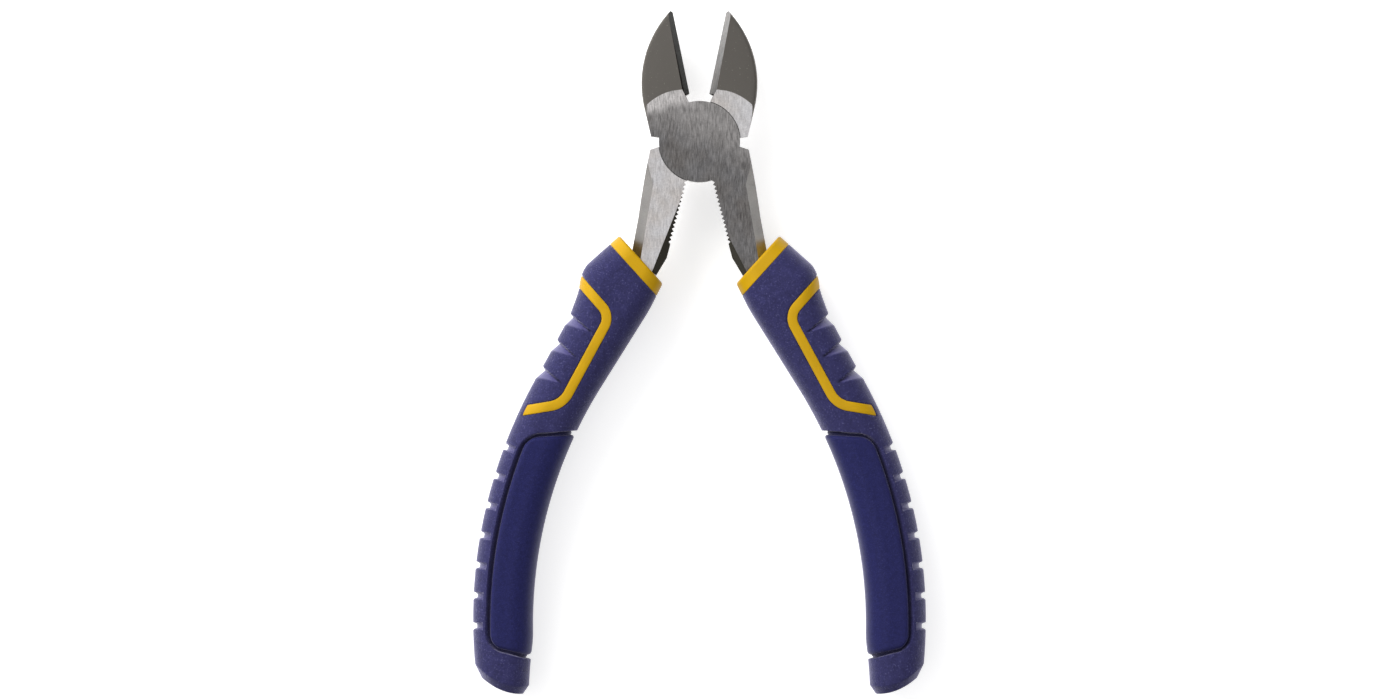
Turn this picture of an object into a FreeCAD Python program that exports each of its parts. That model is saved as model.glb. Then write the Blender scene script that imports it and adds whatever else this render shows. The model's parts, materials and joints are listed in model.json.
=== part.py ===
# Diagonal cutting pliers.
#
# Two identical forged levers lap at a flush rivet. The rear lever is the front one turned
# half a turn about the length of the tool, so each lever is drawn once, shut, with the
# pivot at its origin: jaw up and to the left, handle down and to the right, its own half
# of the lap on the front. Each tang carries a hard inner sleeve with a collar and two
# ribs, a soft grip shell moulded over it, and a finger pad let into the shell.
#
# Lengths are in millimetres and angles in degrees. The tool lies on its back on z = 0 with
# its jaws towards +Y and rests with them open.

import FreeCAD, Part
import math
import os
import re
import Sketcher

SIZES = (
    ("half_opening", 11.6, "turn of each lever from shut to the resting pose"),
    # Lap joint and rivet
    ("head_thickness", 10.5, "thickness of the head and of the bare arms"),
    ("boss_radius", 9.1, "round boss of each lever"),
    ("recess_clearance", 0.15, "gap round the boss in the other lever"),
    ("lap_gap", 0.06, "gap between the two lap faces"),
    ("shank_radius", 3.5, "rivet shank"),
    ("rivet_head_depth", 1.3, "height of the 45 degree countersunk rivet heads"),
    ("rivet_clearance", 0.04, "running clearance of the rear lever on the rivet"),
    # Jaw
    ("edge_gap", 0.02, "each cutting edge stops this far from the middle when shut"),
    ("heel_height", 11.0, "lower end of the cutting edge above the pivot"),
    ("heel_step", 0.3, "relief under the heel, at its top"),
    ("heel_relief", 0.6, "relief under the heel, at the boss"),
    ("tip_height", 30.05, "tip of the jaw above the pivot"),
    ("tip_flat", 0.45, "small flat across the tip"),
    ("jaw_curve", 23.8, "radius of the outer side of the jaw"),
    ("jaw_reach", 10.6, "widest half width of the shut jaws"),
    ("jaw_widest_height", 10.6, "where the jaws are widest"),
    ("jaw_shoulder_reach", 10.4, "outer corner of the jaw's shoulder, across"),
    ("jaw_shoulder_outer", 3.3, "outer corner of the jaw's shoulder, up"),
    ("jaw_shoulder_inner", 2.7, "inner corner of the jaw's shoulder, up"),
    ("bevel_angle", 17.4, "cutting bevels from the plane between the jaws"),
    ("face_fall", 5.3, "slope of the jaw faces towards the tip"),
    ("face_curve", 118.0, "radius of the crowned jaw faces"),
    ("face_start_across", 3.5, "crest of the jaw faces, across"),
    ("face_start_height", 12.35, "crest of the jaw faces, up"),
    # Arm
    ("arm_shoulder_reach", 10.45, "outer corner of the arm's shoulder, across"),
    ("arm_shoulder_outer", 4.0, "outer corner of the arm's shoulder, down"),
    ("arm_shoulder_inner", 2.95, "inner corner of the arm's shoulder, down"),
    ("arm_side_curve", 190.0, "radius of the outer side of the arm"),
    ("arm_side_reach", 9.72, "outer side of the arm above the grip, across"),
    ("arm_side_drop", 22.5, "outer side of the arm above the grip, down"),
    ("arm_inner_reach", 1.0, "inner side of the arm at the boss, across"),
    ("arm_waist_reach", 1.95, "inner side of the arm under the teeth, across"),
    ("arm_waist_drop", 27.0, "inner side of the arm under the teeth, down"),
    ("arm_half_width", 3.95, "half width of the arm where the grip takes it"),
    ("tooth_first_drop", 9.6, "top of the serrations, down"),
    ("tooth_pitch", 0.98, "spacing of the serrations"),
    ("tooth_depth", 0.55, "depth of the serrations"),
    ("tooth_count", 15, "serrations on each arm"),
    # Facets ground along the arm: where each ridge lies on the face
    ("facet_angle", 45.0, "slope of the facets along the arm"),
    ("facet_reach", 6.0, "size of the cut that leaves a facet"),
    ("outer_ridge_top_across", 8.25, "outer facet, top of its long ridge, across"),
    ("outer_ridge_top_drop", 11.5, "outer facet, top of its long ridge, down"),
    ("outer_ridge_low_across", 7.55, "outer facet, foot of its long ridge, across"),
    ("outer_ridge_low_drop", 31.0, "outer facet, foot of its long ridge, down"),
    ("outer_ridge_end_across", 10.5, "outer facet, run-out at the shoulder, across"),
    ("outer_ridge_end_drop", 6.8, "outer facet, run-out at the shoulder, down"),
    ("front_ridge_top_across", 1.4, "inner facet on the front, top, across"),
    ("front_ridge_top_drop", 19.6, "inner facet on the front, top, down"),
    ("back_ridge_top_across", 1.0, "inner facet on the back, top, across"),
    ("back_ridge_top_drop", 10.6, "inner facet on the back, top, down"),
    ("inner_ridge_low_across", 4.6, "inner facets, foot, across"),
    ("inner_ridge_low_drop", 31.0, "inner facets, foot, down"),
    # Centre line of the grip: a round lower part that leads into a straight upper part
    ("bow_centre_across", -83.05, "centre of the bowed lower grip, across"),
    ("bow_centre_drop", 93.4, "centre of the bowed lower grip, down"),
    ("bow_radius", 106.7, "radius of the bowed centre line"),
    ("bow_lean", 20.5, "lean of the straight upper grip"),
    # Tang
    ("tang_thickness", 7.0, "thickness of the tang"),
    ("tang_half_width", 3.2, "half width of the tang"),
    ("tang_overlap", 3.0, "how far the tang's outline runs up inside the arm"),
    ("tang_root_rise", 25.2, "where the arm steps down to the tang, up the straight part"),
    ("tang_end_turn", -8.0, "round end of the tang, turn on the bow"),
    # Grip section, measured from its centre line
    ("grip_half_thickness", 8.5, "half thickness of the grip, front to back"),
    ("grip_corner", 5.5, "rounding of the grip's section"),
    ("grip_crown", 0.05, "height cut off the rounded form by the grip's flat front and back"),
    ("grip_inward", 6.8, "reach of the grip towards the other handle"),
    ("grip_outward", 6.8, "reach of the grip away from the other handle"),
    ("tail_inward", 4.3, "reach inward at the butt"),
    ("tail_turn", -21.5, "lowest section, turn on the bow"),
    ("low_turn", -13.5, "lower palm section, turn on the bow"),
    ("high_turn", 10.0, "upper palm section, turn on the bow"),
    ("thumb_outward", 7.7, "reach outward where the thumb lies"),
    ("thumb_rise", 9.6, "thumb section, up the straight part"),
    ("flare_outward", 9.0, "reach outward half-way up the thumb stop"),
    ("flare_rise", 15.8, "half-way up the thumb stop"),
    ("stop_outward", 10.8, "reach outward at the thumb stop"),
    ("stop_rise", 20.4, "thumb stop, up the straight part"),
    ("neck_outward", 6.6, "reach outward at the top of the grip"),
    ("neck_inward", 5.4, "reach inward at the top of the grip"),
    ("neck_half_thickness", 6.4, "half thickness at the top of the grip"),
    ("neck_rise", 35.0, "top of the grip before the collar is cut, up the straight part"),
    ("butt_drop", 129.6, "lowest point of the grip, down"),
    ("butt_heel_across", 13.0, "butt, inner corner, across"),
    ("butt_heel_curve", 2.1, "radius of the butt's inner corner"),
    ("butt_inner_across", 16.6, "butt, outer end of its low flat, across"),
    ("butt_corner_across", 24.7, "butt, start of its outer corner, across"),
    ("butt_corner_drop", 126.8, "butt, start of its outer corner, down"),
    ("butt_side_across", 26.75, "butt, end of its outer corner, across"),
    ("butt_side_drop", 122.3, "butt, end of its outer corner, down"),
    ("butt_curve", 15.0, "radius of the butt"),
    ("butt_corner_curve", 6.0, "radius of the butt's outer corner"),
    # Layers of the grip
    ("skin", 1.8, "soft skin over the inner sleeve"),
    ("relief", 0.9, "depth of the grooves, scallops and pad in the skin"),
    ("core_end_turn", -15.6, "lower end of the inner sleeve, turn on the bow"),
    ("collar_across", 7.75, "middle of the collar's top, across"),
    ("collar_drop", 28.35, "middle of the collar's top, down"),
    ("collar_slope", 36.3, "slope of the collar"),
    ("collar_height", 2.85, "height of the collar"),
    # Rib that shows through the skin, along its middle
    ("rib_width", 2.2, "width of the rib"),
    ("rib_top_across", 23.0, "upper end of the rib, across"),
    ("rib_top_drop", 33.78, "upper end of the rib, down"),
    ("rib_bend_across", 11.72, "upper bend, across"),
    ("rib_bend_drop", 42.24, "upper bend, down"),
    ("rib_knee_across", 18.19, "lower bend, across"),
    ("rib_knee_drop", 63.81, "lower bend, down"),
    ("rib_end_across", 24.6, "lower end of the rib, across"),
    ("rib_end_drop", 66.2, "lower end of the rib, down"),
    ("rib_bend_radius", 3.9, "upper bend"),
    ("rib_knee_radius", 5.6, "lower bend"),
    # Recess for the finger pad, seen from the front
    ("recess_outward", 3.85, "outer side of the recess from the centre line"),
    ("recess_inner_across", 8.0, "open inner side of the recess, across"),
    ("recess_top_drop", 71.9, "top outer corner of the recess, down"),
    ("recess_top_slope", 14.6, "fall of the recess's top towards the outer corner"),
    ("recess_low_drop", 121.05, "foot outer corner of the recess, down"),
    ("recess_low_slope", 1.6, "rise of the recess's foot towards the outer corner"),
    ("recess_corner", 3.4, "rounding of the recess corners"),
    ("groove_width", 1.3, "groove between the recess and the pad"),
    # Thumb scallops and edge notches
    ("scallop_count", 3, "scallops for the thumb"),
    ("scallop_first_rise", 9.9, "upper end of the first scallop, up the straight part"),
    ("scallop_pitch", 6.9, "spacing of the scallops"),
    ("scallop_length", 3.1, "length of a scallop at the edge"),
    ("scallop_slant", 0.7, "how far its point lies under its upper end"),
    ("scallop_point", 1.9, "point of a scallop from the centre line"),
    ("notch_count", 7, "notches in the outer edge"),
    ("notch_first_turn", 8.97, "first notch, turn on the bow"),
    ("notch_pitch_turn", 3.455, "spacing of the notches, turn on the bow"),
    ("notch_width", 1.25, "width of a notch"),
    ("notch_inner", 4.6, "inner end of a notch from the centre line"),
)

doc = FreeCAD.newDocument("DiagonalCuttingPliers")
sheet = doc.addObject("Spreadsheet::Sheet", "Sizes")
for row, (alias, amount, meaning) in enumerate(SIZES, start=1):
    sheet.set(f"A{row}", meaning)
    sheet.set(f"B{row}", str(amount))
    sheet.setAlias(f"B{row}", alias)
doc.recompute()

ALIAS = re.compile(r"\b(" + "|".join(alias for alias, _, _ in SIZES) + r")\b")
THROUGH = "(butt_drop / 2)"  # long enough to pass through the grip either way
OVERRUN = "(head_thickness / 10)"  # how far a cutting form runs past the face it cuts
NEARLY_ROUND = 1.02  # the tang's end is a little flatter than a half circle
CLOCKWISE = -1
UP = FreeCAD.Vector(0, 0, 1)
FRONT = 1
BACK = -1


def formula(text):
    """An expression in which every size is read from the sheet."""
    return ALIAS.sub(r"Sizes.\1", str(text))


def value(text):
    """What an expression comes to now."""
    return float(sheet.evalExpression(formula(text)))


def vector(across, up, out=0.0):
    return FreeCAD.Vector(value(across), value(up), value(out))


def bind(target, path, text):
    """Tie a property to the sizes."""
    target.setExpression(path, formula(text))


# Outlines


def plane_of(body, role):
    return next(part for part in body.Origin.OriginFeatures if part.Role == role)


def edge_between(start, end, radius, sense):
    """A straight edge, or a round one that turns anticlockwise unless told otherwise."""
    if radius is None:
        return Part.LineSegment(start, end)
    chord = end - start
    rise = math.sqrt(max(0.0, radius ** 2 - (chord.Length / 2) ** 2))
    left = FreeCAD.Vector(-chord.y, chord.x, 0).normalize()
    centre = (start + end) / 2 + left * rise * sense
    circle = Part.Circle(centre, UP, radius)
    first, last = (start, end) if sense > 0 else (end, start)
    return Part.ArcOfCircle(circle, circle.parameter(first), circle.parameter(last))


def draw(sketch, corners, closed=True):
    """Draw edges from corner to corner, each tied to the sizes. A corner is (across, up),
    and (across, up, radius) or (across, up, radius, CLOCKWISE) where a round edge leaves it."""
    corners = [(*corner, None, 1) if len(corner) == 2 else (*corner, 1)[:4]
               for corner in corners]
    points = [vector(across, up) for across, up, _, _ in corners]
    count = len(corners) if closed else len(corners) - 1
    ends = [(1, 2) if sense > 0 else (2, 1) for _, _, _, sense in corners]
    rules = []
    for index in range(count):
        _, _, radius, sense = corners[index]
        radius = None if radius is None else value(radius)
        end = points[(index + 1) % len(points)]
        sketch.addGeometry(edge_between(points[index], end, radius, sense), False)
        after = (index + 1) % count
        if closed or after:
            rule = Sketcher.Constraint("Coincident", index, ends[index][1], after, ends[after][0])
            rules.append((rule, None, None))
    for index, (across, up, radius, _) in enumerate(corners):
        edge, end = (index, ends[index][0]) if index < count else (index - 1, 2)
        rule = Sketcher.Constraint("DistanceX", -1, 1, edge, end, points[index].x)
        rules.append((rule, f"across_{index}", across))
        rule = Sketcher.Constraint("DistanceY", -1, 1, edge, end, points[index].y)
        rules.append((rule, f"up_{index}", up))
        if radius is not None:
            rule = Sketcher.Constraint("Radius", edge, value(radius))
            rules.append((rule, f"radius_{index}", radius))
    sketch.addConstraint([rule for rule, _, _ in rules])
    for index, (_, name, text) in enumerate(rules):
        if name is not None:
            sketch.renameConstraint(index, name)
            bind(sketch, f"Constraints.{name}", text)


def outline(body, name, corners, role="XY_Plane", place=None):
    """A closed outline on one of the body's own planes, or set off from it."""
    sketch = body.newObject("Sketcher::SketchObject", name)
    sketch.AttachmentSupport = [(plane_of(body, role), "")]
    sketch.MapMode = "FlatFace"
    if place is not None:
        sketch.AttachmentOffset = place
    draw(sketch, corners)
    return sketch


def pad(body, name, sketch, length):
    """Thicken an outline by the same amount on both sides."""
    feature = body.newObject("PartDesign::Pad", name)
    feature.Profile = sketch
    feature.SideType = "Symmetric"
    bind(feature, "Length", length)
    return feature


def pocket(body, name, sketch):
    """Cut an outline through everything on one side of its plane."""
    feature = body.newObject("PartDesign::Pocket", name)
    feature.Profile = sketch
    feature.Type = "ThroughAll"
    return feature


def slab(name, corners, thickness=THROUGH):
    """A body that is one plan outline, thick enough to pass through the grip unless told."""
    body = doc.addObject("PartDesign::Body", name)
    pad(body, name + "_pad", outline(body, name + "_plan", corners), thickness)
    return body


def round_upright(body, name, places, radius):
    """Round the upright edges of a slab that stand at the given places."""
    doc.recompute()
    base = body.Tip
    chosen = []
    for across, up in places:
        place = vector(across, up)
        upright = [(edge.distToShape(Part.Vertex(place))[0], number)
                   for number, edge in enumerate(base.Shape.Edges, start=1)
                   if abs(edge.tangentAt(edge.FirstParameter).z) > 0.9]
        chosen.append(f"Edge{min(upright)[1]}")
    feature = body.newObject("PartDesign::Fillet", name)
    feature.Base = (base, chosen)
    bind(feature, "Radius", radius)


def upright_block(name, place, turn, sides, corner):
    """A block through the grip, turned in plan. Its corner is set off from a place along
    the block's own sides."""
    block = doc.addObject("Part::Box", name)
    bind(block, "Length", sides[0])
    bind(block, "Width", sides[1])
    bind(block, "Height", THROUGH)
    turned = FreeCAD.Rotation(UP, value(turn))
    offset = turned * vector(*corner, f"-{THROUGH} / 2")
    block.Placement = FreeCAD.Placement(vector(*place) + offset, turned)
    return block


def cut(name, base, tool):
    feature = doc.addObject("Part::Cut", name)
    feature.Base = base
    feature.Tool = tool
    return feature


def common(name, *shapes):
    feature = doc.addObject("Part::MultiCommon", name)
    feature.Shapes = list(shapes)
    return feature


def fused(name, *shapes):
    feature = doc.addObject("Part::MultiFuse", name)
    feature.Shapes = list(shapes)
    return feature


# Centre line of the grip


def on_grip(turn, rise, outward):
    """A place on the grip as expressions: along its bow, up its straight part, outward."""
    reach = f"(bow_radius + {outward})"
    across = f"bow_centre_across + {reach} * cos({turn}) - ({rise}) * sin({turn})"
    up = f"-bow_centre_drop + {reach} * sin({turn}) + ({rise}) * cos({turn})"
    return across, up


def station(turn, rise):
    """The frame of a cross-section: its x points outward and its y to the front."""
    turned = FreeCAD.Rotation(UP, value(turn))
    upright = FreeCAD.Rotation(FreeCAD.Vector(1, 0, 0), 90)
    return FreeCAD.Placement(vector(*on_grip(turn, rise, "0")), turned * upright)


# Lever

LEVER_PLAN = [
    ("-edge_gap", "heel_height"),
    ("-edge_gap", "tip_height - tip_flat"),
    ("-tip_flat", "tip_height", "jaw_curve"),
    ("-jaw_reach", "jaw_widest_height"),
    ("-jaw_shoulder_reach", "jaw_shoulder_outer"),
    ("-sqrt(boss_radius ^ 2 - jaw_shoulder_inner ^ 2)", "jaw_shoulder_inner", "boss_radius"),
    ("arm_inner_reach", "-sqrt(boss_radius ^ 2 - arm_inner_reach ^ 2)"),
    ("arm_waist_reach", "-arm_waist_drop"),
    on_grip("bow_lean", "tang_root_rise", "-arm_half_width"),
    on_grip("bow_lean", "tang_root_rise", "arm_half_width"),
    ("arm_side_reach", "-arm_side_drop", "arm_side_curve"),
    ("arm_shoulder_reach", "-arm_shoulder_outer"),
    ("sqrt(boss_radius ^ 2 - arm_shoulder_inner ^ 2)", "-arm_shoulder_inner", "boss_radius"),
    ("-heel_relief", "sqrt(boss_radius ^ 2 - heel_relief ^ 2)"),
    ("-heel_step", "heel_height - heel_step"),
]

TANG_PLAN = [
    on_grip("bow_lean", "tang_root_rise + tang_overlap", "-tang_half_width"),
    (*on_grip("bow_lean", "0", "-tang_half_width"), "bow_radius - tang_half_width", CLOCKWISE),
    (*on_grip("tang_end_turn", "0", "-tang_half_width"), f"tang_half_width * {NEARLY_ROUND}"),
    (*on_grip("tang_end_turn", "0", "tang_half_width"), "bow_radius + tang_half_width"),
    on_grip("bow_lean", "0", "tang_half_width"),
    on_grip("bow_lean", "tang_root_rise + tang_overlap", "tang_half_width"),
]


def lap_recess(body):
    """Clear the other lever's half of the lap: a round recess behind this lever's boss."""
    sketch = body.newObject("Sketcher::SketchObject", "lap_recess_plan")
    sketch.AttachmentSupport = [(plane_of(body, "XY_Plane"), "")]
    sketch.MapMode = "FlatFace"
    bind(sketch, "AttachmentOffset.Base.z", "lap_gap / 2")
    circle = Part.Circle(FreeCAD.Vector(), UP, value("boss_radius + recess_clearance"))
    sketch.addGeometry(circle, False)
    sketch.addConstraint(Sketcher.Constraint("Coincident", 0, 3, -1, 1))
    sketch.addConstraint(Sketcher.Constraint("Radius", 0, circle.Radius))
    bind(sketch, "Constraints[1]", "boss_radius + recess_clearance")
    pocket(body, "lap_recess", sketch)


def cutting_bevels(body):
    """Both bevels of the cutting edge, from the heel to past the tip."""
    height = f"(head_thickness / 2 + {OVERRUN})"
    back = f"-edge_gap - {height} * tan(bevel_angle)"
    corners = [
        (back, "-" + height),
        ("jaw_reach", "-" + height),
        ("jaw_reach", height),
        (back, height),
        ("-edge_gap", "0"),
    ]
    start = FreeCAD.Placement(vector("0", "0", "-heel_height"), FreeCAD.Rotation())
    sketch = outline(body, "bevel_section", corners, "XZ_Plane", start)
    bind(sketch, "AttachmentOffset.Base.z", "-heel_height")
    pocket(body, "cutting_bevels", sketch)


def serrations(body):
    """A row of notches down the straight inner side of the arm."""
    top = LEVER_PLAN[6]
    side = vector(*LEVER_PLAN[7]) - vector(*top)
    slant = side.x / side.y
    lean = FreeCAD.Rotation(UP, -math.degrees(math.atan(slant)))
    first = vector("0", "-tooth_first_drop")
    first.x = value(top[0]) + slant * (first.y - value(top[1]))
    corners = [
        ("-tooth_depth", "tooth_pitch"),
        ("-tooth_depth", "-tooth_pitch"),
        ("tooth_depth", "0"),
    ]
    place = FreeCAD.Placement(first, lean)
    sketch = outline(body, "tooth_plan", corners, "XY_Plane", place)
    notch = body.newObject("PartDesign::Pocket", "tooth_notch")
    notch.Profile = sketch
    notch.Type = "ThroughAll"
    notch.SideType = "Symmetric"
    row = body.newObject("PartDesign::LinearPattern", "serrations")
    row.Originals = [notch]
    row.Direction = (sketch, ["V_Axis"])
    row.Reversed = True
    bind(row, "Length", "tooth_pitch * (tooth_count - 1)")
    bind(row, "Occurrences", "tooth_count")
    body.Tip = row


def lever_forging():
    """Head, arm and tang, with the lap recess, the cutting bevels and the serrations."""
    body = doc.addObject("PartDesign::Body", "lever_forging")
    pad(body, "head_and_arm", outline(body, "lever_plan", LEVER_PLAN), "head_thickness")
    pad(body, "tang", outline(body, "tang_plan", TANG_PLAN), "tang_thickness")
    lap_recess(body)
    cutting_bevels(body)
    serrations(body)
    return body


def jaw_face(name, side):
    """A large leaning cylinder: what it holds of the jaw falls to the tip, crowned."""
    fall = math.radians(value("face_fall"))
    along = FreeCAD.Vector(0, math.cos(fall), -side * math.sin(fall))
    outward = FreeCAD.Vector(0, math.sin(fall), side * math.cos(fall))
    crest = vector("-face_start_across", "face_start_height", f"{side} * head_thickness / 2")
    past_the_lever = "(2 * butt_drop)"
    cylinder = doc.addObject("Part::Cylinder", name)
    bind(cylinder, "Radius", "face_curve")
    bind(cylinder, "Height", f"2 * {past_the_lever}")
    start = crest - outward * value("face_curve") - along * value(past_the_lever)
    cylinder.Placement = FreeCAD.Placement(start, FreeCAD.Rotation(UP, along))
    return cylinder


def facet(name, start, end, side):
    """A block that takes a sloping facet off the right of a ridge, seen from its own side
    of the lever. The ridge runs from start to end on the front or the back face."""
    along = (end - start).normalize()
    away = FreeCAD.Vector(along.y, -along.x, 0)
    slope = math.radians(value("facet_angle"))
    width = away * math.cos(slope) - UP * side * math.sin(slope)
    height = away * math.sin(slope) + UP * side * math.cos(slope)
    block = doc.addObject("Part::Box", name)
    bind(block, "Length", "facet_reach")
    bind(block, "Height", "facet_reach")
    block.Width = (end - start).Length
    corner = start if side == FRONT else end
    corner = corner + UP * side * value("head_thickness / 2")
    turn = FreeCAD.Rotation(width, along * side, height, "ZXY")
    block.Placement = FreeCAD.Placement(corner, turn)
    return block


def arm_facets():
    """The ground facets along both edges of the arm, on the front and on the back."""
    end = vector("outer_ridge_end_across", "-outer_ridge_end_drop")
    top = vector("outer_ridge_top_across", "-outer_ridge_top_drop")
    low = vector("outer_ridge_low_across", "-outer_ridge_low_drop")
    foot = vector("inner_ridge_low_across", "-inner_ridge_low_drop")
    blocks = []
    for word, side in (("front", FRONT), ("back", BACK)):
        inner = vector(f"{word}_ridge_top_across", f"-{word}_ridge_top_drop")
        blocks.append(facet(f"outer_{word}_facet", low, top, side))
        blocks.append(facet(f"run_out_{word}_facet", top, end, side))
        blocks.append(facet(f"inner_{word}_facet", inner, foot, side))
    return fused("arm_facets", *blocks)


def rivet_form(name, clearance, proud):
    """A shank between two countersunk heads, with clearance all round, and with the heads
    carried on past the faces of the joint where it stands for a seat."""
    face = f"(head_thickness / 2 + {proud})"
    neck = "(head_thickness / 2 - rivet_head_depth)"
    shank = f"shank_radius + {clearance}"
    head = f"{shank} + rivet_head_depth + {proud}"
    body = doc.addObject("PartDesign::Body", name)
    sketch = outline(body, name + "_section", [
        ("0", "-" + face),
        (head, "-" + face),
        (shank, "-" + neck),
        (shank, neck),
        (head, face),
        ("0", face),
    ], "XZ_Plane")
    turned = body.newObject("PartDesign::Revolution", name + "_turned")
    turned.Profile = sketch
    turned.ReferenceAxis = (sketch, ["V_Axis"])
    return body


# Grip

BOW_STATIONS = (
    ("tail_turn", "tail_inward", "grip_outward"),
    ("low_turn", "grip_inward", "grip_outward"),
    ("0", "grip_inward", "grip_outward"),
    ("high_turn", "grip_inward", "grip_outward"),
    ("bow_lean", "grip_inward", "grip_outward"),
)
STRAIGHT_STATIONS = (
    ("thumb_rise", "grip_inward", "thumb_outward"),
    ("flare_rise", "grip_inward", "flare_outward"),
    ("stop_rise", "grip_inward", "stop_outward"),
)


def grip_section(body, name, turn, rise, reaches, inset):
    """A rounded rectangle square to the centre line, set in from the grip's surface."""
    inward, outward, half = (f"({reach} - {inset})" for reach in reaches)
    half = f"({half} + grip_crown)"
    corner = f"(grip_corner - {inset})"
    corners = [
        (outward, f"-{half} + {corner}"),
        (outward, f"{half} - {corner}", corner),
        (f"{outward} - {corner}", half),
        (f"-{inward} + {corner}", half, corner),
        (f"-{inward}", f"{half} - {corner}"),
        (f"-{inward}", f"-{half} + {corner}", corner),
        (f"-{inward} + {corner}", f"-{half}"),
        (f"{outward} - {corner}", f"-{half}", corner),
    ]
    sketch = outline(body, name, corners, "XZ_Plane")
    plane = plane_of(body, "XZ_Plane")
    sketch.AttachmentOffset = plane.Placement.inverse() * station(turn, rise)
    return sketch


def loft(body, name, sections, ruled):
    feature = body.newObject("PartDesign::AdditiveLoft", name)
    feature.Profile = sections[0]
    feature.Sections = [(section, [""]) for section in sections[1:]]
    feature.Ruled = ruled
    return feature


def grip_form(name, inset):
    """The grip's outer form, or the same set in: a bowed lower part and a tapered neck."""
    body = doc.addObject("PartDesign::Body", name)
    sections = []
    for number, (turn, inward, outward) in enumerate(BOW_STATIONS):
        reaches = (inward, outward, "grip_half_thickness")
        sections.append(grip_section(body, f"{name}_bow_{number}", turn, "0", reaches, inset))
    for number, (rise, inward, outward) in enumerate(STRAIGHT_STATIONS):
        reaches = (inward, outward, "grip_half_thickness")
        label = f"{name}_straight_{number}"
        sections.append(grip_section(body, label, "bow_lean", rise, reaches, inset))
    loft(body, name + "_lower", sections, False)
    reaches = ("grip_inward", "stop_outward", "grip_half_thickness")
    start = grip_section(body, name + "_stop", "bow_lean", "stop_rise", reaches, inset)
    reaches = ("neck_inward", "neck_outward", "neck_half_thickness")
    end = grip_section(body, name + "_neck", "bow_lean", "neck_rise", reaches, inset)
    loft(body, name + "_upper", [start, end], True)
    return body


def grip_plan():
    """The grip in plan, as thick as the grip: it is cut along the collar at the top, rounded
    at the butt and flat on the front and back, where the tool lies."""
    along = f"{THROUGH} / 2 * cos(collar_slope)"
    rise = f"{THROUGH} / 2 * sin(collar_slope)"
    return slab("grip_plan", [
        (f"collar_across + {along}", f"-collar_drop + {rise}"),
        (f"collar_across - {along}", f"-collar_drop - {rise}"),
        (f"collar_across - {along}", "-butt_drop + butt_heel_curve"),
        ("butt_heel_across", "-butt_drop + butt_heel_curve", "butt_heel_curve"),
        ("butt_heel_across + butt_heel_curve", "-butt_drop"),
        ("butt_inner_across", "-butt_drop", "butt_curve"),
        ("butt_corner_across", "-butt_corner_drop", "butt_corner_curve"),
        ("butt_side_across", "-butt_side_drop"),
        (f"collar_across + {along}", "-butt_side_drop"),
    ], "2 * grip_half_thickness")


def collar_slab():
    """The band of the grip that the collar takes, across its slope."""
    place = ("collar_across", "-collar_drop")
    sides = (THROUGH, "collar_height")
    return upright_block("collar_slab", place, "collar_slope", sides,
                         (f"-{THROUGH} / 2", "-collar_height"))


def below_core():
    """The butt end of the grip, which the inner sleeve's core stops short of."""
    place = on_grip("core_end_turn", "0", "0")
    return upright_block("below_core", place, "core_end_turn", (THROUGH, THROUGH),
                         (f"-{THROUGH} / 2", f"-{THROUGH}"))


def rib_prism():
    """The rib's band, through the grip: three straight legs with rounded bends."""
    middle = doc.addObject("Sketcher::SketchObject", "rib_line")
    draw(middle, [
        ("rib_top_across", "-rib_top_drop"),
        ("rib_bend_across", "-rib_bend_drop"),
        ("rib_knee_across", "-rib_knee_drop"),
        ("rib_end_across", "-rib_end_drop"),
    ], closed=False)
    for edge, radius in enumerate(("rib_bend_radius", "rib_knee_radius")):
        middle.fillet(edge, 2, value(radius), True, True)
        arc = max(number for number, shape in enumerate(middle.Geometry)
                  if isinstance(shape, Part.ArcOfCircle))
        rule = middle.addConstraint(Sketcher.Constraint("Radius", arc, value(radius)))
        middle.renameConstraint(rule, radius)
        bind(middle, f"Constraints.{radius}", radius)
    band = doc.addObject("Part::Offset2D", "rib_band")
    band.Source = middle
    band.Fill = True
    bind(band, "Value", "rib_width / 2")
    prism = doc.addObject("Part::Extrusion", "rib_prism")
    prism.Base = band
    prism.DirMode = "Custom"
    prism.Dir = UP
    bind(prism, "LengthFwd", THROUGH)
    prism.Symmetric = True
    prism.Solid = True
    return prism


def recess_slab(name, inset):
    """The finger pad's recess in plan, or the pad itself, set in from the recess. It runs
    out through the inner side of the grip."""
    reach = f"(bow_radius + recess_outward - {inset})"
    top = f"(recess_top_drop + {inset} / cos(recess_top_slope) - {inset} * tan(recess_top_slope))"
    low = f"(recess_low_drop - {inset} / cos(recess_low_slope))"
    top_across = f"(bow_centre_across + sqrt({reach} ^ 2 - (bow_centre_drop - {top}) ^ 2))"
    low_across = f"(bow_centre_across + sqrt({reach} ^ 2 - (bow_centre_drop - {low}) ^ 2))"
    inner = "recess_inner_across"
    body = slab(name, [
        (inner, f"-{top} + ({top_across} - {inner}) * tan(recess_top_slope)"),
        (inner, f"-{low} - ({low_across} - {inner}) * tan(recess_low_slope)"),
        (low_across, "-" + low, reach),
        (top_across, "-" + top),
    ])
    corners = [(low_across, "-" + low), (top_across, "-" + top)]
    round_upright(body, name + "_corners", corners, f"recess_corner - {inset}")
    return body


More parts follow.
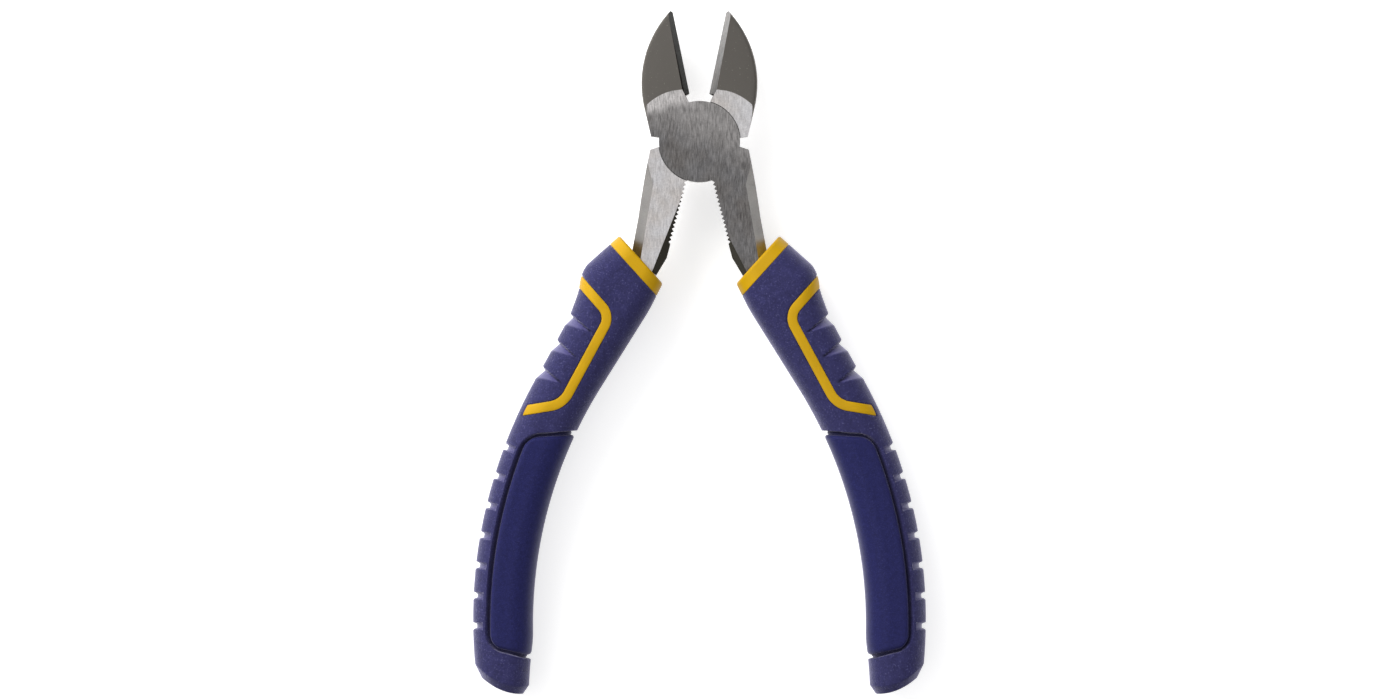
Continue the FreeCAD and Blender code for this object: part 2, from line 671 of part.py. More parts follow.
def scallops():
    """Three-cornered hollows for the thumb, widest at the outer edge."""
    spread = "(stop_outward - scallop_point) / (thumb_outward - scallop_point)"
    shapes = []
    for number in range(round(value("scallop_count"))):
        point = f"scallop_first_rise - scallop_slant - {number} * scallop_pitch"
        lower = f"{point} - (scallop_length - scallop_slant) * {spread}"
        upper = f"{point} + scallop_slant * {spread}"
        shapes.append(slab(f"scallop_{number + 1}", [
            on_grip("bow_lean", point, "scallop_point"),
            on_grip("bow_lean", lower, "stop_outward"),
            on_grip("bow_lean", upper, "stop_outward"),
        ]))
    return shapes


def notches():
    """Short slots across the outer edge of the palm."""
    shapes = []
    for number in range(round(value("notch_count"))):
        turn = f"(notch_first_turn - {number} * notch_pitch_turn)"
        place = on_grip(turn, "0", "notch_inner")
        sides = ("grip_outward", "notch_width")
        corner = ("0", "-notch_width / 2")
        shapes.append(upright_block(f"notch_{number + 1}", place, turn, sides, corner))
    return shapes


# The pieces, each drawn shut with the pivot at the origin

forging = lever_forging()
faces = (jaw_face("front_jaw_face", FRONT), jaw_face("back_jaw_face", BACK))
lever = cut("lever_blank", common("lever_with_faces", forging, *faces), arm_facets())

plan = grip_plan()
whole = common("grip_whole", grip_form("grip_outer", "0"), plan)
floor = grip_form("grip_floor", "relief")
core = cut("grip_core", common("core_in_plan", grip_form("grip_inner", "skin"), plan), below_core())
collar = collar_slab()
rib = rib_prism()
inner_sleeve = fused("sleeve_form", core, common("collar_ring", whole, collar),
                     common("ribs", whole, rib))
hollows = fused("hollow_plans", recess_slab("recess", "0"), *scallops(), *notches())
skin_cuts = fused("skin_cuts", collar, core, rib, cut("hollows", hollows, floor))
skin = cut("pad_skin", whole, floor)
pad_slab = recess_slab("pad", "groove_width")

tight_seat = rivet_form("rivet_seat", "0", OVERRUN)
running_seat = rivet_form("running_seat", "rivet_clearance", OVERRUN)

HANDLES = (("right", "front", tight_seat), ("left", "rear", running_seat))
pieces = {}
for hand, half, seat in HANDLES:
    pieces[half] = [
        cut(f"{half}_lever", lever, seat),
        cut(f"{hand}_inner_sleeve", inner_sleeve, lever),
        cut(f"{hand}_grip_shell", whole, skin_cuts),
        common(f"{hand}_finger_pad", skin, pad_slab),
    ]
pieces["front"].append(rivet_form("pivot_rivet", "0", "0"))

# The resting pose: each lever is turned back from shut, and the rear one is turned over

MESH_ERROR = 0.02


def extent(pieces, axis):
    """Lowest and highest place of some pieces along an axis, from their fine meshes."""
    places = [getattr(point, axis) for piece in pieces
              for point in piece.Shape.tessellate(MESH_ERROR)[0]]
    return min(places), max(places)


opened = FreeCAD.Rotation(UP, value("half_opening"))
turned_over = FreeCAD.Rotation(UP, -value("half_opening")) \
    * FreeCAD.Rotation(FreeCAD.Vector(0, 1, 0), 180)
turns = {"front": opened, "rear": turned_over}
for half, group in pieces.items():
    for piece in group:
        piece.Placement = FreeCAD.Placement(FreeCAD.Vector(), turns[half])
doc.recompute()
everything = pieces["front"] + pieces["rear"]
middle = sum(extent(everything, "y")) / 2
lift = FreeCAD.Vector(0, -round(middle, 1), value("grip_half_thickness"))
for half, group in pieces.items():
    for piece in group:
        piece.Label = piece.Name
        piece.Placement = FreeCAD.Placement(lift, turns[half])
doc.recompute()

# Checks, then the files

for member in doc.Objects:
    if "Invalid" in member.State or "Error" in member.State:
        raise RuntimeError(f"{member.Label} failed: {member.State}")
for piece in everything:
    shape = piece.Shape
    if shape.isNull() or not shape.isValid() or len(shape.Solids) != 1:
        raise RuntimeError(f"{piece.Label} is not one sound solid")
os.makedirs("parts", exist_ok=True)
for piece in everything:
    piece.Shape.exportStep(f"parts/{piece.Label}.step")
    low, high = extent([piece], "z")
    print(f"{piece.Label}: {piece.Shape.Volume:.1f} mm3, z {low:.2f} to {high:.2f}")
print(f"pivot {lift.y:.1f} mm from the middle of the tool, {lift.z:.2f} mm up")
lengths = [high - low for low, high in (extent(everything, axis) for axis in "xyz")]
print("overall {:.2f} x {:.2f} x {:.2f} mm".format(*lengths))
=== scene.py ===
# Diagonal cutting pliers: the finish of the steel and of the moulded grips.
#
# The packed model is the frame. Each grip is modelled on the shut tool, with the pivot at
# the origin, the jaws up and the right handle down and to the right, and is then carried
# to its handle. A place on the grip is given by its run along the centre line, its reach
# outward from that line, and its height above the middle plane.

import json
import math

import bmesh
import bpy
from mathutils import Matrix, Vector

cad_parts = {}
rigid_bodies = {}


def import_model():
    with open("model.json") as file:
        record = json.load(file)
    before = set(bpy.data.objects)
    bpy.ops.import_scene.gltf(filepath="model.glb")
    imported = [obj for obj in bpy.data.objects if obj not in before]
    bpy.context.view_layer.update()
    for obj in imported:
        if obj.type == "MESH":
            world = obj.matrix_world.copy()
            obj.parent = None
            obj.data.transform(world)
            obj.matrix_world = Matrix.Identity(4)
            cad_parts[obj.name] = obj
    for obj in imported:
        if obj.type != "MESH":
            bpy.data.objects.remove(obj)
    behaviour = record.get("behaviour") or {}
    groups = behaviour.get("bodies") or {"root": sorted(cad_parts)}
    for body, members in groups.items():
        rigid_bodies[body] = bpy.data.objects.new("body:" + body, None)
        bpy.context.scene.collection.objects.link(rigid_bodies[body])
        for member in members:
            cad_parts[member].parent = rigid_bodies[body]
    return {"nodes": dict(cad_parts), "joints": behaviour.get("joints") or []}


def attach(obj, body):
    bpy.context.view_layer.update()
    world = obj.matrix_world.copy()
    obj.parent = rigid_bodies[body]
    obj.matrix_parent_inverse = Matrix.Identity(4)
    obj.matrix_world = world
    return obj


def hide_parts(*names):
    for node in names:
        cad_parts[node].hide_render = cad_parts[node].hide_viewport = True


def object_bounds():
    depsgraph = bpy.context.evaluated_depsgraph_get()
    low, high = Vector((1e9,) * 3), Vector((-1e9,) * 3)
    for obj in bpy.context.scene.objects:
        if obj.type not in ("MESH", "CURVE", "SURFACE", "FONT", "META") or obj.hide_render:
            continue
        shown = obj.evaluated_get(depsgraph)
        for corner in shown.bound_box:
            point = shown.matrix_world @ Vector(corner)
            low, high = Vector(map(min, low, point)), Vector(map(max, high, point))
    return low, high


bl_info = {
    "name": "Diagonal Cutting Pliers",
    "version": (1, 0, 0),
    "blender": (4, 5, 0),
    "location": "3D View > Sidebar > Pliers",
    "description": "Steel and two-tone moulded grips for a pair of diagonal cutting pliers",
    "category": "Object",
}

for leftover in list(bpy.data.objects):
    bpy.data.objects.remove(leftover)
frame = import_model()
CAD_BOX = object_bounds()

MM = 0.001
TINY = 1e-6
PIVOT = Vector(frame["joints"][0]["pos_m"])
HALF_OPENING = math.radians(frame["joints"][0]["range_deg"][1]) / 2
HAND_BODIES = {"right": "front", "left": "rear"}
HAND_LEVERS = {"right": "front_lever", "left": "rear_lever"}

# How much further than at the palm the grip reaches, as pairs of a run and a distance in
# millimetres, from the butt to the collar. It swells into a guard for the thumb, and then
# draws in to a neck.
OUTER_SWELL = ((-32.0, -0.3), (-6.0, 0.0), (36.5, 0.05), (47.8, 0.86), (54.0, 2.16),
               (58.6, 4.06), (73.2, -0.19))
INNER_SWELL = ((-40.0, -2.49), (-25.1, 0.0), (58.6, -0.05), (73.2, -1.39))
FACE_SWELL = ((58.6, 0.0), (73.2, -1.97))
SWELL_BLEND = 1.6 * MM

# Corners in plan on the shut tool, across and up, in millimetres
RIB_CORNERS = ((23.0, -33.78), (11.72, -42.24), (18.19, -63.81), (24.6, -66.2))
HEEL_CORNERS = {"top": (-1.665, 12.2), "bend": (-1.665, 11.0), "edge": (-0.02, 11.0),
                "under": (-0.3, 10.7), "foot": (-0.6, 9.08)}
ARM_WAIST = (9.72, -22.5)
ARM_WAIST_HEIGHT = 3.386 * MM

# Painted shade of dents left by handling, beside the ridges of the arms: across, up, width
# and height from the middle, in millimetres on the tool as it lies open
DENT_SHADES = ((-10.75, 38.1, 0.42, 1.1), (9.9, 41.9, 0.5, 0.95))

# Rounds in which a run and a reach that depend on each other settle
SETTLING = 3

# Rings in which the end of a moulded form closes on its core
CAP_RINGS = 2


def length(name, description, millimetres):
    """A size, with its default in millimetres."""
    return bpy.props.FloatProperty(name=name, description=description, default=millimetres * MM,
                                   unit="LENGTH", subtype="DISTANCE", precision=4)


def slope(name, description, degrees):
    """An angle, with its default in degrees."""
    return bpy.props.FloatProperty(name=name, description=description,
                                   default=math.radians(degrees), subtype="ANGLE")


def colour(name, description, red, green, blue):
    """A colour, with its default as linear values."""
    return bpy.props.FloatVectorProperty(name=name, description=description, size=3, min=0.0,
                                         max=1.0, default=(red, green, blue), subtype="COLOR")


def location(name, description, *place):
    """A place, with its default in metres."""
    return bpy.props.FloatVectorProperty(name=name, description=description, size=3,
                                         default=place, unit="LENGTH", subtype="TRANSLATION")


def factor(name, description, default):
    """A plain number that is not below zero."""
    return bpy.props.FloatProperty(name=name, description=description, default=default, min=0.0)


def count(name, description, default):
    """A number of faces."""
    return bpy.props.IntProperty(name=name, description=description, default=default, min=8)


def power(name, description, watts):
    """The power of a lamp."""
    return bpy.props.FloatProperty(name=name, description=description, default=watts, min=0.0,
                                   unit="POWER")


# Sizes and finishes that a user would change


class PliersGripSizes(bpy.types.PropertyGroup):
    """The form of the moulded grips, on the shut tool."""
    bow_across: length("Bow centre across", "Centre of the bowed lower grip, across", -83.05)
    bow_drop: length("Bow centre drop", "Centre of the bowed lower grip, down", 93.4)
    bow_radius: length("Bow radius", "Radius of the bowed centre line", 106.7)
    bow_lean: slope("Bow lean", "Lean of the straight upper grip", 20.5)
    reach: length("Reach", "Half width of the palm section", 6.79)
    half_thickness: length("Half thickness", "Half thickness, front to back", 8.37)
    corner: length("Section corner", "Rounding of the section", 5.5)
    relief: length("Relief", "Depth of the grooves and of the pad", 0.9)
    collar_across: length("Collar across", "Middle of the collar's top, across", 7.75)
    collar_drop: length("Collar drop", "Middle of the collar's top, down", 28.35)
    collar_slope: slope("Collar slope", "Slope of the collar", 36.3)
    collar_height: length("Collar height", "Height of the collar", 2.85)
    collar_round: length("Collar rounding", "Rounding of the collar's top edge", 0.5)
    butt_run: length("Butt run", "Lowest run of the butt", -37.75)
    butt_low_out: length("Butt low point", "Where the butt is lowest, outward", -4.5)
    butt_curve: length("Butt curve", "Radius of the butt's curve in plan", 10.0)
    butt_bevel: length("Butt bevel", "Height of the bevel round the butt", 1.8)
    butt_bevel_depth: length("Butt bevel depth", "How far the bevel goes in", 1.25)
    wall: length("Groove wall", "Width over which a moulded step falls", 0.4)


class PliersPadSizes(bpy.types.PropertyGroup):
    """The recess for the finger pad and the pad in it, in plan."""
    outward: length("Recess outward", "Outer side of the recess from the centre line", 3.85)
    top_drop: length("Top drop", "Top outer corner of the recess, down", 71.9)
    top_slope: slope("Top slope", "Fall of the top towards the outer corner", 14.6)
    low_drop: length("Foot drop", "Foot outer corner of the recess, down", 121.05)
    low_slope: slope("Foot slope", "Rise of the foot towards the outer corner", 1.6)
    corner: length("Corner", "Rounding of the recess's corners", 3.4)
    groove: length("Groove", "Groove between the recess and the pad", 0.95)
    groove_sink: length("Groove sink", "How far the groove lies under the recess", 0.3)
    rim: length("Rim", "Rounding of the pad's rim", 0.9)


class PliersRibSizes(bpy.types.PropertyGroup):
    """The thin rib that shows through the shell."""
    width: length("Width", "Width of the rib", 2.2)
    upper_bend: length("Upper bend", "Radius of the upper bend", 3.9)
    lower_bend: length("Lower bend", "Radius of the lower bend", 5.6)
    end_out: length("End", "Where the lower leg ends, outward", 5.65)
    crown: length("Crown", "Height of the rib's crown over the shell", 0.12)
    seam: length("Seam", "Width of the seam beside the rib", 0.16)
    seam_depth: length("Seam depth", "Depth of the shell's channel for the rib", 0.4)
    thickness: length("Thickness", "Thickness of the rib's moulding", 0.8)


class PliersTouchSizes(bpy.types.PropertyGroup):
    """Thumb scallops and edge notches."""
    scallop_count: bpy.props.IntProperty(name="Scallops", description="Scallops for the thumb",
                                         default=3, min=0)
    scallop_first: length("First scallop", "Run of the first scallop's upper end", 48.4)
    scallop_pitch: length("Scallop pitch", "Spacing of the scallops", 6.58)
    scallop_length: length("Scallop length", "Length of a scallop at the edge", 2.75)
    scallop_slant: length("Scallop slant", "How far its point lies under its upper end", 0.85)
    scallop_point: length("Scallop point", "Point of a scallop from the centre line", 1.35)
    scallop_depth: length("Scallop depth", "Depth under its upper wall", 1.1)
    notch_count: bpy.props.IntProperty(name="Notches", description="Notches in the outer edge",
                                       default=7, min=0)
    notch_first: length("First notch", "Run of the first notch", 16.7)
    notch_pitch: length("Notch pitch", "Spacing of the notches", 6.434)
    notch_width: length("Notch width", "Width of a notch", 1.25)
    notch_inner: length("Notch inner end", "Inner end of a notch from the centre line", 4.6)
    notch_depth: length("Notch depth", "Depth of a notch", 0.9)


class PliersSteelSizes(bpy.types.PropertyGroup):
    """Broken edges of the steel and places on a lever, on the shut tool."""
    broken_edge: length("Broken edge", "Width of the broken edges", 0.12)
    jaw_edge: length("Jaw edge", "Width of the rounding on the jaws' outer edge", 0.75)
    heel_fall: factor("Heel fall", "Fall of the facet at a jaw's heel, to its width", 1.3)
    crest_across: length("Face crest across", "Middle of the jaw face's lower border", -3.5)
    crest_up: length("Face crest up", "Centre of the jaw face's lower border, up", 1.42)
    crest_radius: length("Face crest radius", "Radius of the jaw face's lower border", 10.9)
    boss: length("Boss", "Radius of the boss", 9.2)
    rivet_clear: length("Rivet clearance", "Radius within which no edge is broken", 7.0)
    half_lap: length("Half lap", "Height of the faces over the middle plane", 5.25)
    heel_top: length("Heel top", "Top of the heel facet from the cutting edge", 1.45)
    heel_step: length("Heel step", "Step from the heel facet to the end of the edge", 0.1)
    jaw_foot: length("Jaw foot", "Height over which a face belongs to the jaw", 10.0)
    edge_foot: length("Edge foot", "Height over which a broken edge is the jaw's", 12.0)
    teeth_top: length("Teeth top", "Height under which the inner side has teeth", -12.0)
    arm_across: length("Arm across", "Bare arm's outer side at the collar", 9.84)
    arm_up: length("Arm up", "Height of the bare arm's last corner", -27.2)
    arm_deep: length("Arm depth", "Half of the outer side's depth at the collar", 3.1)


class PliersFinish(bpy.types.PropertyGroup):
    """Colours of the steel and of the mouldings."""
    # Both levers are the same ground steel: the front one is painted darker and the rear one
    # lighter, as painted shade and painted reflection
    front_steel_shaded: colour("Front lever", "Ground steel of the front lever", 0.204, 0.196, 0.194)
    rear_steel_lit: colour("Rear lever", "Ground steel of the rear lever", 0.73, 0.705, 0.70)
    jaw_steel: colour("Jaw faces", "Blasted steel of the jaw faces", 0.168, 0.156, 0.141)
    black_steel: colour("Blacked steel", "Oxide left on the inner facets", 0.034, 0.032, 0.026)
    forged_steel: colour("Forged steel", "Facets and sides of the arms", 0.36, 0.347, 0.335)
    cutting_steel: colour("Rear bevel", "Cutting bevel of the rear jaw", 0.234, 0.2256, 0.2178)
    # Painted shade: the front jaw's cutting bevel is painted near black, while the rear jaw's
    # matching bevel is grey
    front_bevel_shade: colour("Front bevel", "Cutting bevel of the front jaw", 0.0136, 0.0128, 0.0104)
    # Broken edges: lighter for wear, and partly as a painted highlight
    edge_wear_and_highlight: colour("Broken edges", "Steel of the broken edges", 0.45, 0.44, 0.43)
    yellow: colour("Yellow", "Hard moulding of the collars and ribs", 0.475, 0.272, 0.002)
    blue: colour("Blue", "Soft moulding of the grips", 0.0225, 0.0215, 0.080)
    pad_blue: colour("Pad blue", "Finger pads", 0.011, 0.012, 0.070)


class PliersStage(bpy.types.PropertyGroup):
    """Camera, floor and lights."""
    view_width: length("View width", "Width that the camera takes in", 314.0)
    view_up: length("View up", "Place of the camera's aim along the tool", 0.6)
    view_across: length("View across", "Place of the camera's aim across the tool", 0.12)
    lens: bpy.props.FloatProperty(name="Lens", description="Focal length in millimetres",
                                  default=400.0, min=10.0, subtype="DISTANCE_CAMERA")
    key: power("Key light", "Power of the key softbox", 8.8)
    key_size: length("Key size", "Side of the key softbox", 750.0)
    key_place: location("Key place", "Middle of the key softbox", -0.46, 0.42, 0.32)
    fill: power("Fill light", "Power of the fill softbox", 5.0)
    fill_size: length("Fill size", "Side of the fill softbox", 1000.0)
    fill_place: location("Fill place", "Middle of the fill softbox", 1.1, -0.1, 0.6)
    sky: factor("Sky", "Strength of the studio's walls and ceiling", 0.59)
    left_wall: factor("Left wall", "Strength of the left wall, to the sky's", 1.7)
    right_wall: factor("Right wall", "Strength of the right wall, to the sky's", 0.36)
    walls: factor("Walls", "Strength of the walls' foot, to the sky's", 0.45)
    ceiling: factor("Ceiling", "Strength of the ceiling, to the sky's", 1.25)
    floor_glow: factor("Floor glow", "How far the seen floor is lifted towards white", 0.55)


SIZE_GROUPS = {
    "pliers_grip": PliersGripSizes,
    "pliers_pad": PliersPadSizes,
    "pliers_rib": PliersRibSizes,
    "pliers_touch": PliersTouchSizes,
    "pliers_steel": PliersSteelSizes,
    "pliers_finish": PliersFinish,
    "pliers_stage": PliersStage,
}


# Small sums


def eased(amount):
    """0 below 0, 1 above 1, and smooth between."""
    amount = min(max(amount, 0.0), 1.0)
    return amount * amount * (3.0 - 2.0 * amount)


def between(stations, run):
    """The value at a run, straight between stations given as pairs of run and value."""
    if run <= stations[0][0]:
        return stations[0][1]
    for (start, first), (end, last) in zip(stations, stations[1:]):
        if run <= end:
            return first + (last - first) * (run - start) / (end - start)
    return stations[-1][1]


def softened(stations, run, spread):
    """The same with its corners rounded, as the mean over a short stretch."""
    steps = (-1.0, -0.5, 0.0, 0.5, 1.0)
    return sum(between(stations, run + spread * step) for step in steps) / len(steps)


def swelled(size, swell):
    """Stations of run and reach, from a reach and how much it swells at each run."""
    return [(run * MM, size + more * MM) for run, more in swell]


def rounding(radius, inside):
    """How far a rounded edge has fallen, at a distance inside its border."""
    gap = radius - min(max(inside, 0.0), radius)
    return radius - math.sqrt(radius ** 2 - gap ** 2)


def corner_distance(first, second, radius):
    """Distance inside a region with a rounded corner, from the distances inside two sides."""
    return radius - math.hypot(max(radius - first, 0.0), max(radius - second, 0.0))


# The grip's form


class Grip:
    """The grip of the right handle on the shut tool."""

    STEEPEST = 0.999

    def __init__(self, scene):
        grip = scene.pliers_grip
        pad = scene.pliers_pad
        self.centre = Vector((grip.bow_across, -grip.bow_drop, 0.0))
        self.radius = grip.bow_radius
        self.lean = grip.bow_lean
        self.corner = grip.corner
        self.flat_out = grip.reach - grip.corner
        self.flat_up = grip.half_thickness - grip.corner
        self.quarter = self.flat_up + self.corner * math.pi / 2 + self.flat_out
        self.outward = Vector((math.cos(self.lean), math.sin(self.lean), 0.0))
        self.along = Vector((-self.outward.y, self.outward.x, 0.0))
        self.straight_start = self.centre + self.outward * self.radius
        self.bow_run = self.radius * self.lean
        self.outer = swelled(grip.reach, OUTER_SWELL)
        self.inner = swelled(grip.reach, INNER_SWELL)
        self.halves = swelled(grip.half_thickness, FACE_SWELL)
        self.butt_run = grip.butt_run
        self.butt_low_out = grip.butt_low_out
        self.butt_curve = grip.butt_curve
        self.collar_place = Vector((grip.collar_across, -grip.collar_drop, 0.0))
        self.collar_slope = grip.collar_slope
        self.pad = pad
        self.pad_top = self.corner_place(pad.top_drop, pad.outward)
        self.pad_low = self.corner_place(pad.low_drop, pad.outward)

    def corner_place(self, drop, out):
        """The place on the bow that lies at a drop and at a reach outward."""
        up = -drop - self.centre.y
        return Vector((self.centre.x + math.sqrt((self.radius + out) ** 2 - up ** 2), -drop, 0.0))

    def place(self, run, out, up=0.0):
        """The place at a run, a reach outward and a height."""
        turn = min(run, self.bow_run) / self.radius
        rise = max(run - self.bow_run, 0.0)
        reach = self.radius + out
        across = self.centre.x + reach * math.cos(turn) - rise * math.sin(turn)
        return Vector((across, self.centre.y + reach * math.sin(turn) + rise * math.cos(turn), up))

    def reading(self, place):
        """The run and the reach outward of a place."""
        arm = place.xy - self.centre.xy
        turn = math.atan2(arm.y, arm.x)
        if turn <= self.lean:
            return turn * self.radius, arm.length - self.radius
        offset = place.xy - self.straight_start.xy
        return self.bow_run + offset.dot(self.along.xy), offset.dot(self.outward.xy)

    def section(self, around):
        """A point of the section, from 0 to 1 round it: its place on the flat-sided core, from
        -1 to 1 each way, and the direction out of the core. It starts at the outer side."""
        number = min(int(around * 4), 3)
        step = (around * 4 - number) * self.quarter
        step = self.quarter - step if number % 2 else step
        side = 1.0 if number in (0, 3) else -1.0
        face = 1.0 if number in (0, 1) else -1.0
        angle = min(max((step - self.flat_up) / self.corner, 0.0), math.pi / 2)
        core_up = min(step / self.flat_up, 1.0)
        arc_end = self.quarter - self.flat_out
        core_out = 1.0 - max(step - arc_end, 0.0) / self.flat_out
        return side * core_out, face * core_up, side * math.cos(angle), face * math.sin(angle)

    def way_round(self, run, out):
        """The way round the section from its outer side to a reach on its front face."""
        inward, outward, _ = self.core(run)
        arc_end = self.quarter - self.flat_out
        if out > outward:
            return arc_end - self.corner * math.asin(min((out - outward) / self.corner, 1.0))
        return arc_end + self.flat_out * (outward - out) / ((outward + inward) / 2)

    def core(self, run):
        """Inner and outer reach, and half height, of the section's core."""
        return tuple(softened(stations, run, SWELL_BLEND) - self.corner
                     for stations in (self.inner, self.outer, self.halves))

    def form(self, run, section, inset=0.0):
        """The reach outward and the height of a section point at a run."""
        core_out, core_up, side, face = section
        inward, outward, half = self.core(run)
        middle = (outward - inward) / 2
        radius = self.corner - inset
        return (middle + core_out * (outward + inward) / 2 + side * radius,
                core_up * half + face * radius)

    def rise_at(self, run, out):
        """The height of the front face where it is not too steep, and the slope there."""
        inward, outward, half = self.core(run)
        past = max(out - outward, -inward - out, 0.0)
        past = min(past / self.corner, self.STEEPEST)
        return half + self.corner * math.sqrt(1.0 - past ** 2), math.asin(past)

    def run_on_collar(self, out, below=0.0):
        """The run at which the collar's sloping line, or one below it, is reached."""
        normal = Vector((-math.sin(self.collar_slope), math.cos(self.collar_slope), 0.0))
        offset = normal.dot(self.collar_place - self.straight_start) - below
        return self.bow_run + (offset - out * normal.dot(self.outward)) / normal.dot(self.along)

    def run_on_line(self, point, fall, out, below=0.0):
        """The run on the bow at which a straight line through a point is reached."""
        level = (point.y - self.centre.y) * math.cos(fall) \
            + (point.x - self.centre.x) * math.sin(fall) - below
        return self.radius * (math.asin(level / (self.radius + out)) - fall)

    def run_at_butt(self, out):
        """The run at which the butt's curve in plan is reached."""
        return self.butt_run + (out - self.butt_low_out) ** 2 / (2 * self.butt_curve)

    def inside_recess(self, place, out, inset=0.0):
        """Distance inside the recess in plan, or inside the same outline set in."""
        pad = self.pad
        corner = pad.corner - inset
        side = pad.outward - inset - out
        top = self.pad_top.y + (self.pad_top.x - place.x) * math.tan(pad.top_slope) - place.y
        low = place.y - self.pad_low.y + (self.pad_low.x - place.x) * math.tan(pad.low_slope)
        top = top * math.cos(pad.top_slope) - inset
        low = low * math.cos(pad.low_slope) - inset
        return min(corner_distance(side, top, corner), corner_distance(side, low, corner))


class RibLine:
    """The middle of the rib in plan: three straight legs with rounded bends."""

    OVERRUN = 4.0 * MM

    def __init__(self, scene):
        rib = scene.pliers_rib
        corners = [Vector(corner) * MM for corner in RIB_CORNERS]
        self.pieces = []
        start = corners[0]
        for index, radius in ((1, rib.upper_bend), (2, rib.lower_bend)):
            into = (corners[index] - corners[index - 1]).normalized()
            out_of = (corners[index + 1] - corners[index]).normalized()
            turn = into.angle_signed(out_of)
            setback = radius * math.tan(abs(turn) / 2)
            end = corners[index] - into * setback
            side = Vector((into.y, -into.x)) * math.copysign(1.0, turn)
            self.pieces.append(("leg", start, end))
            self.pieces.append(("bend", end + side * radius, -side, turn, radius))
            start = corners[index] + out_of * setback
        self.pieces.append(("leg", start, corners[-1] + out_of * self.OVERRUN))
        self.lengths = [(piece[2] - piece[1]).length if piece[0] == "leg"
                        else abs(piece[3]) * piece[4] for piece in self.pieces]

    def at(self, travel):
        """The place and the direction after a travel along the line."""
        for piece, whole in zip(self.pieces, self.lengths):
            if travel <= whole or piece is self.pieces[-1]:
                break
            travel -= whole
        if piece[0] == "leg":
            direction = (piece[2] - piece[1]).normalized()
            return piece[1] + direction * travel, direction
        _, centre, arm, turn, radius = piece
        spun = Matrix.Rotation(-math.copysign(travel / radius, turn), 2) @ arm
        direction = Vector((spun.y, -spun.x)) * math.copysign(1.0, turn)
        return centre + spun * radius, direction

    def distance(self, place):
        """How far a place lies from the line."""
        nearest = []
        for piece in self.pieces:
            if piece[0] == "leg":
                span = piece[2] - piece[1]
                share_along = (place - piece[1]).dot(span) / span.length_squared
                foot = piece[1] + span * min(max(share_along, 0.0), 1.0)
                nearest.append((place - foot).length)
            else:
                _, centre, arm, turn, radius = piece
                offset = place - centre
                if offset.length > TINY:
                    swung = math.copysign(1.0, turn) * arm.angle_signed(offset)
                    if 0.0 <= swung <= abs(turn):
                        nearest.append(abs(offset.length - radius))
        return min(nearest)


# Meshes


def mapped_grid(across, along, where):
    """A sheet of quads whose points are placed by a function of two shares, 0 to 1."""
    bm = bmesh.new()
    bmesh.ops.create_grid(bm, x_segments=across, y_segments=along, size=1.0)
    for point in bm.verts:
        point.co = where((point.co.x + 1.0) / 2, (point.co.y + 1.0) / 2)
    return bm


def close_tube(bm):
    """Join a tube's seam, cap its ends and turn its faces outwards."""
    bmesh.ops.remove_doubles(bm, verts=bm.verts, dist=TINY)
    bmesh.ops.holes_fill(bm, edges=[edge for edge in bm.edges if edge.is_boundary], sides=0)
    bmesh.ops.recalc_face_normals(bm, faces=bm.faces)


def finished(bm, name, materials, smooth_angle=math.radians(40), flat=()):
    """An object from a mesh, smooth but for its sharp edges and its flat-lying finishes."""
    for face in bm.faces:
        face.smooth = face.material_index not in flat
    for edge in bm.edges:
        if len(edge.link_faces) == 2 and edge.calc_face_angle(0.0) > smooth_angle:
            edge.smooth = False
    mesh = bpy.data.meshes.new(name)
    bm.to_mesh(mesh)
    bm.free()
    for material in materials:
        mesh.materials.append(material)
    piece = bpy.data.objects.new(name, mesh)
    bpy.context.scene.collection.objects.link(piece)
    return piece


def placement(hand):
    """From the shut tool to a handle. The left half is the right one turned over about the
    length of the tool."""
    if hand == "right":
        turn = Matrix.Rotation(HALF_OPENING, 4, "Z")
    else:
        turn = Matrix.Rotation(-HALF_OPENING, 4, "Z") @ Matrix.Rotation(math.pi, 4, "Y")
    return Matrix.Translation(PIVOT) @ turn


def carried(bm, hand):
    """Carry a shape on the shut tool to its handle, as the tool lies open."""
    bmesh.ops.transform(bm, matrix=placement(hand), verts=bm.verts)
    return bm


def for_both_hands(bm, name, node, materials):
    """One piece for each handle, from one mesh."""
    for hand, body in HAND_BODIES.items():
        piece = finished(carried(bm.copy(), hand), f"{hand}_{name}", materials)
        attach(piece, body)
        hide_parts(f"{hand}_{node}")
    bm.free()


# Materials


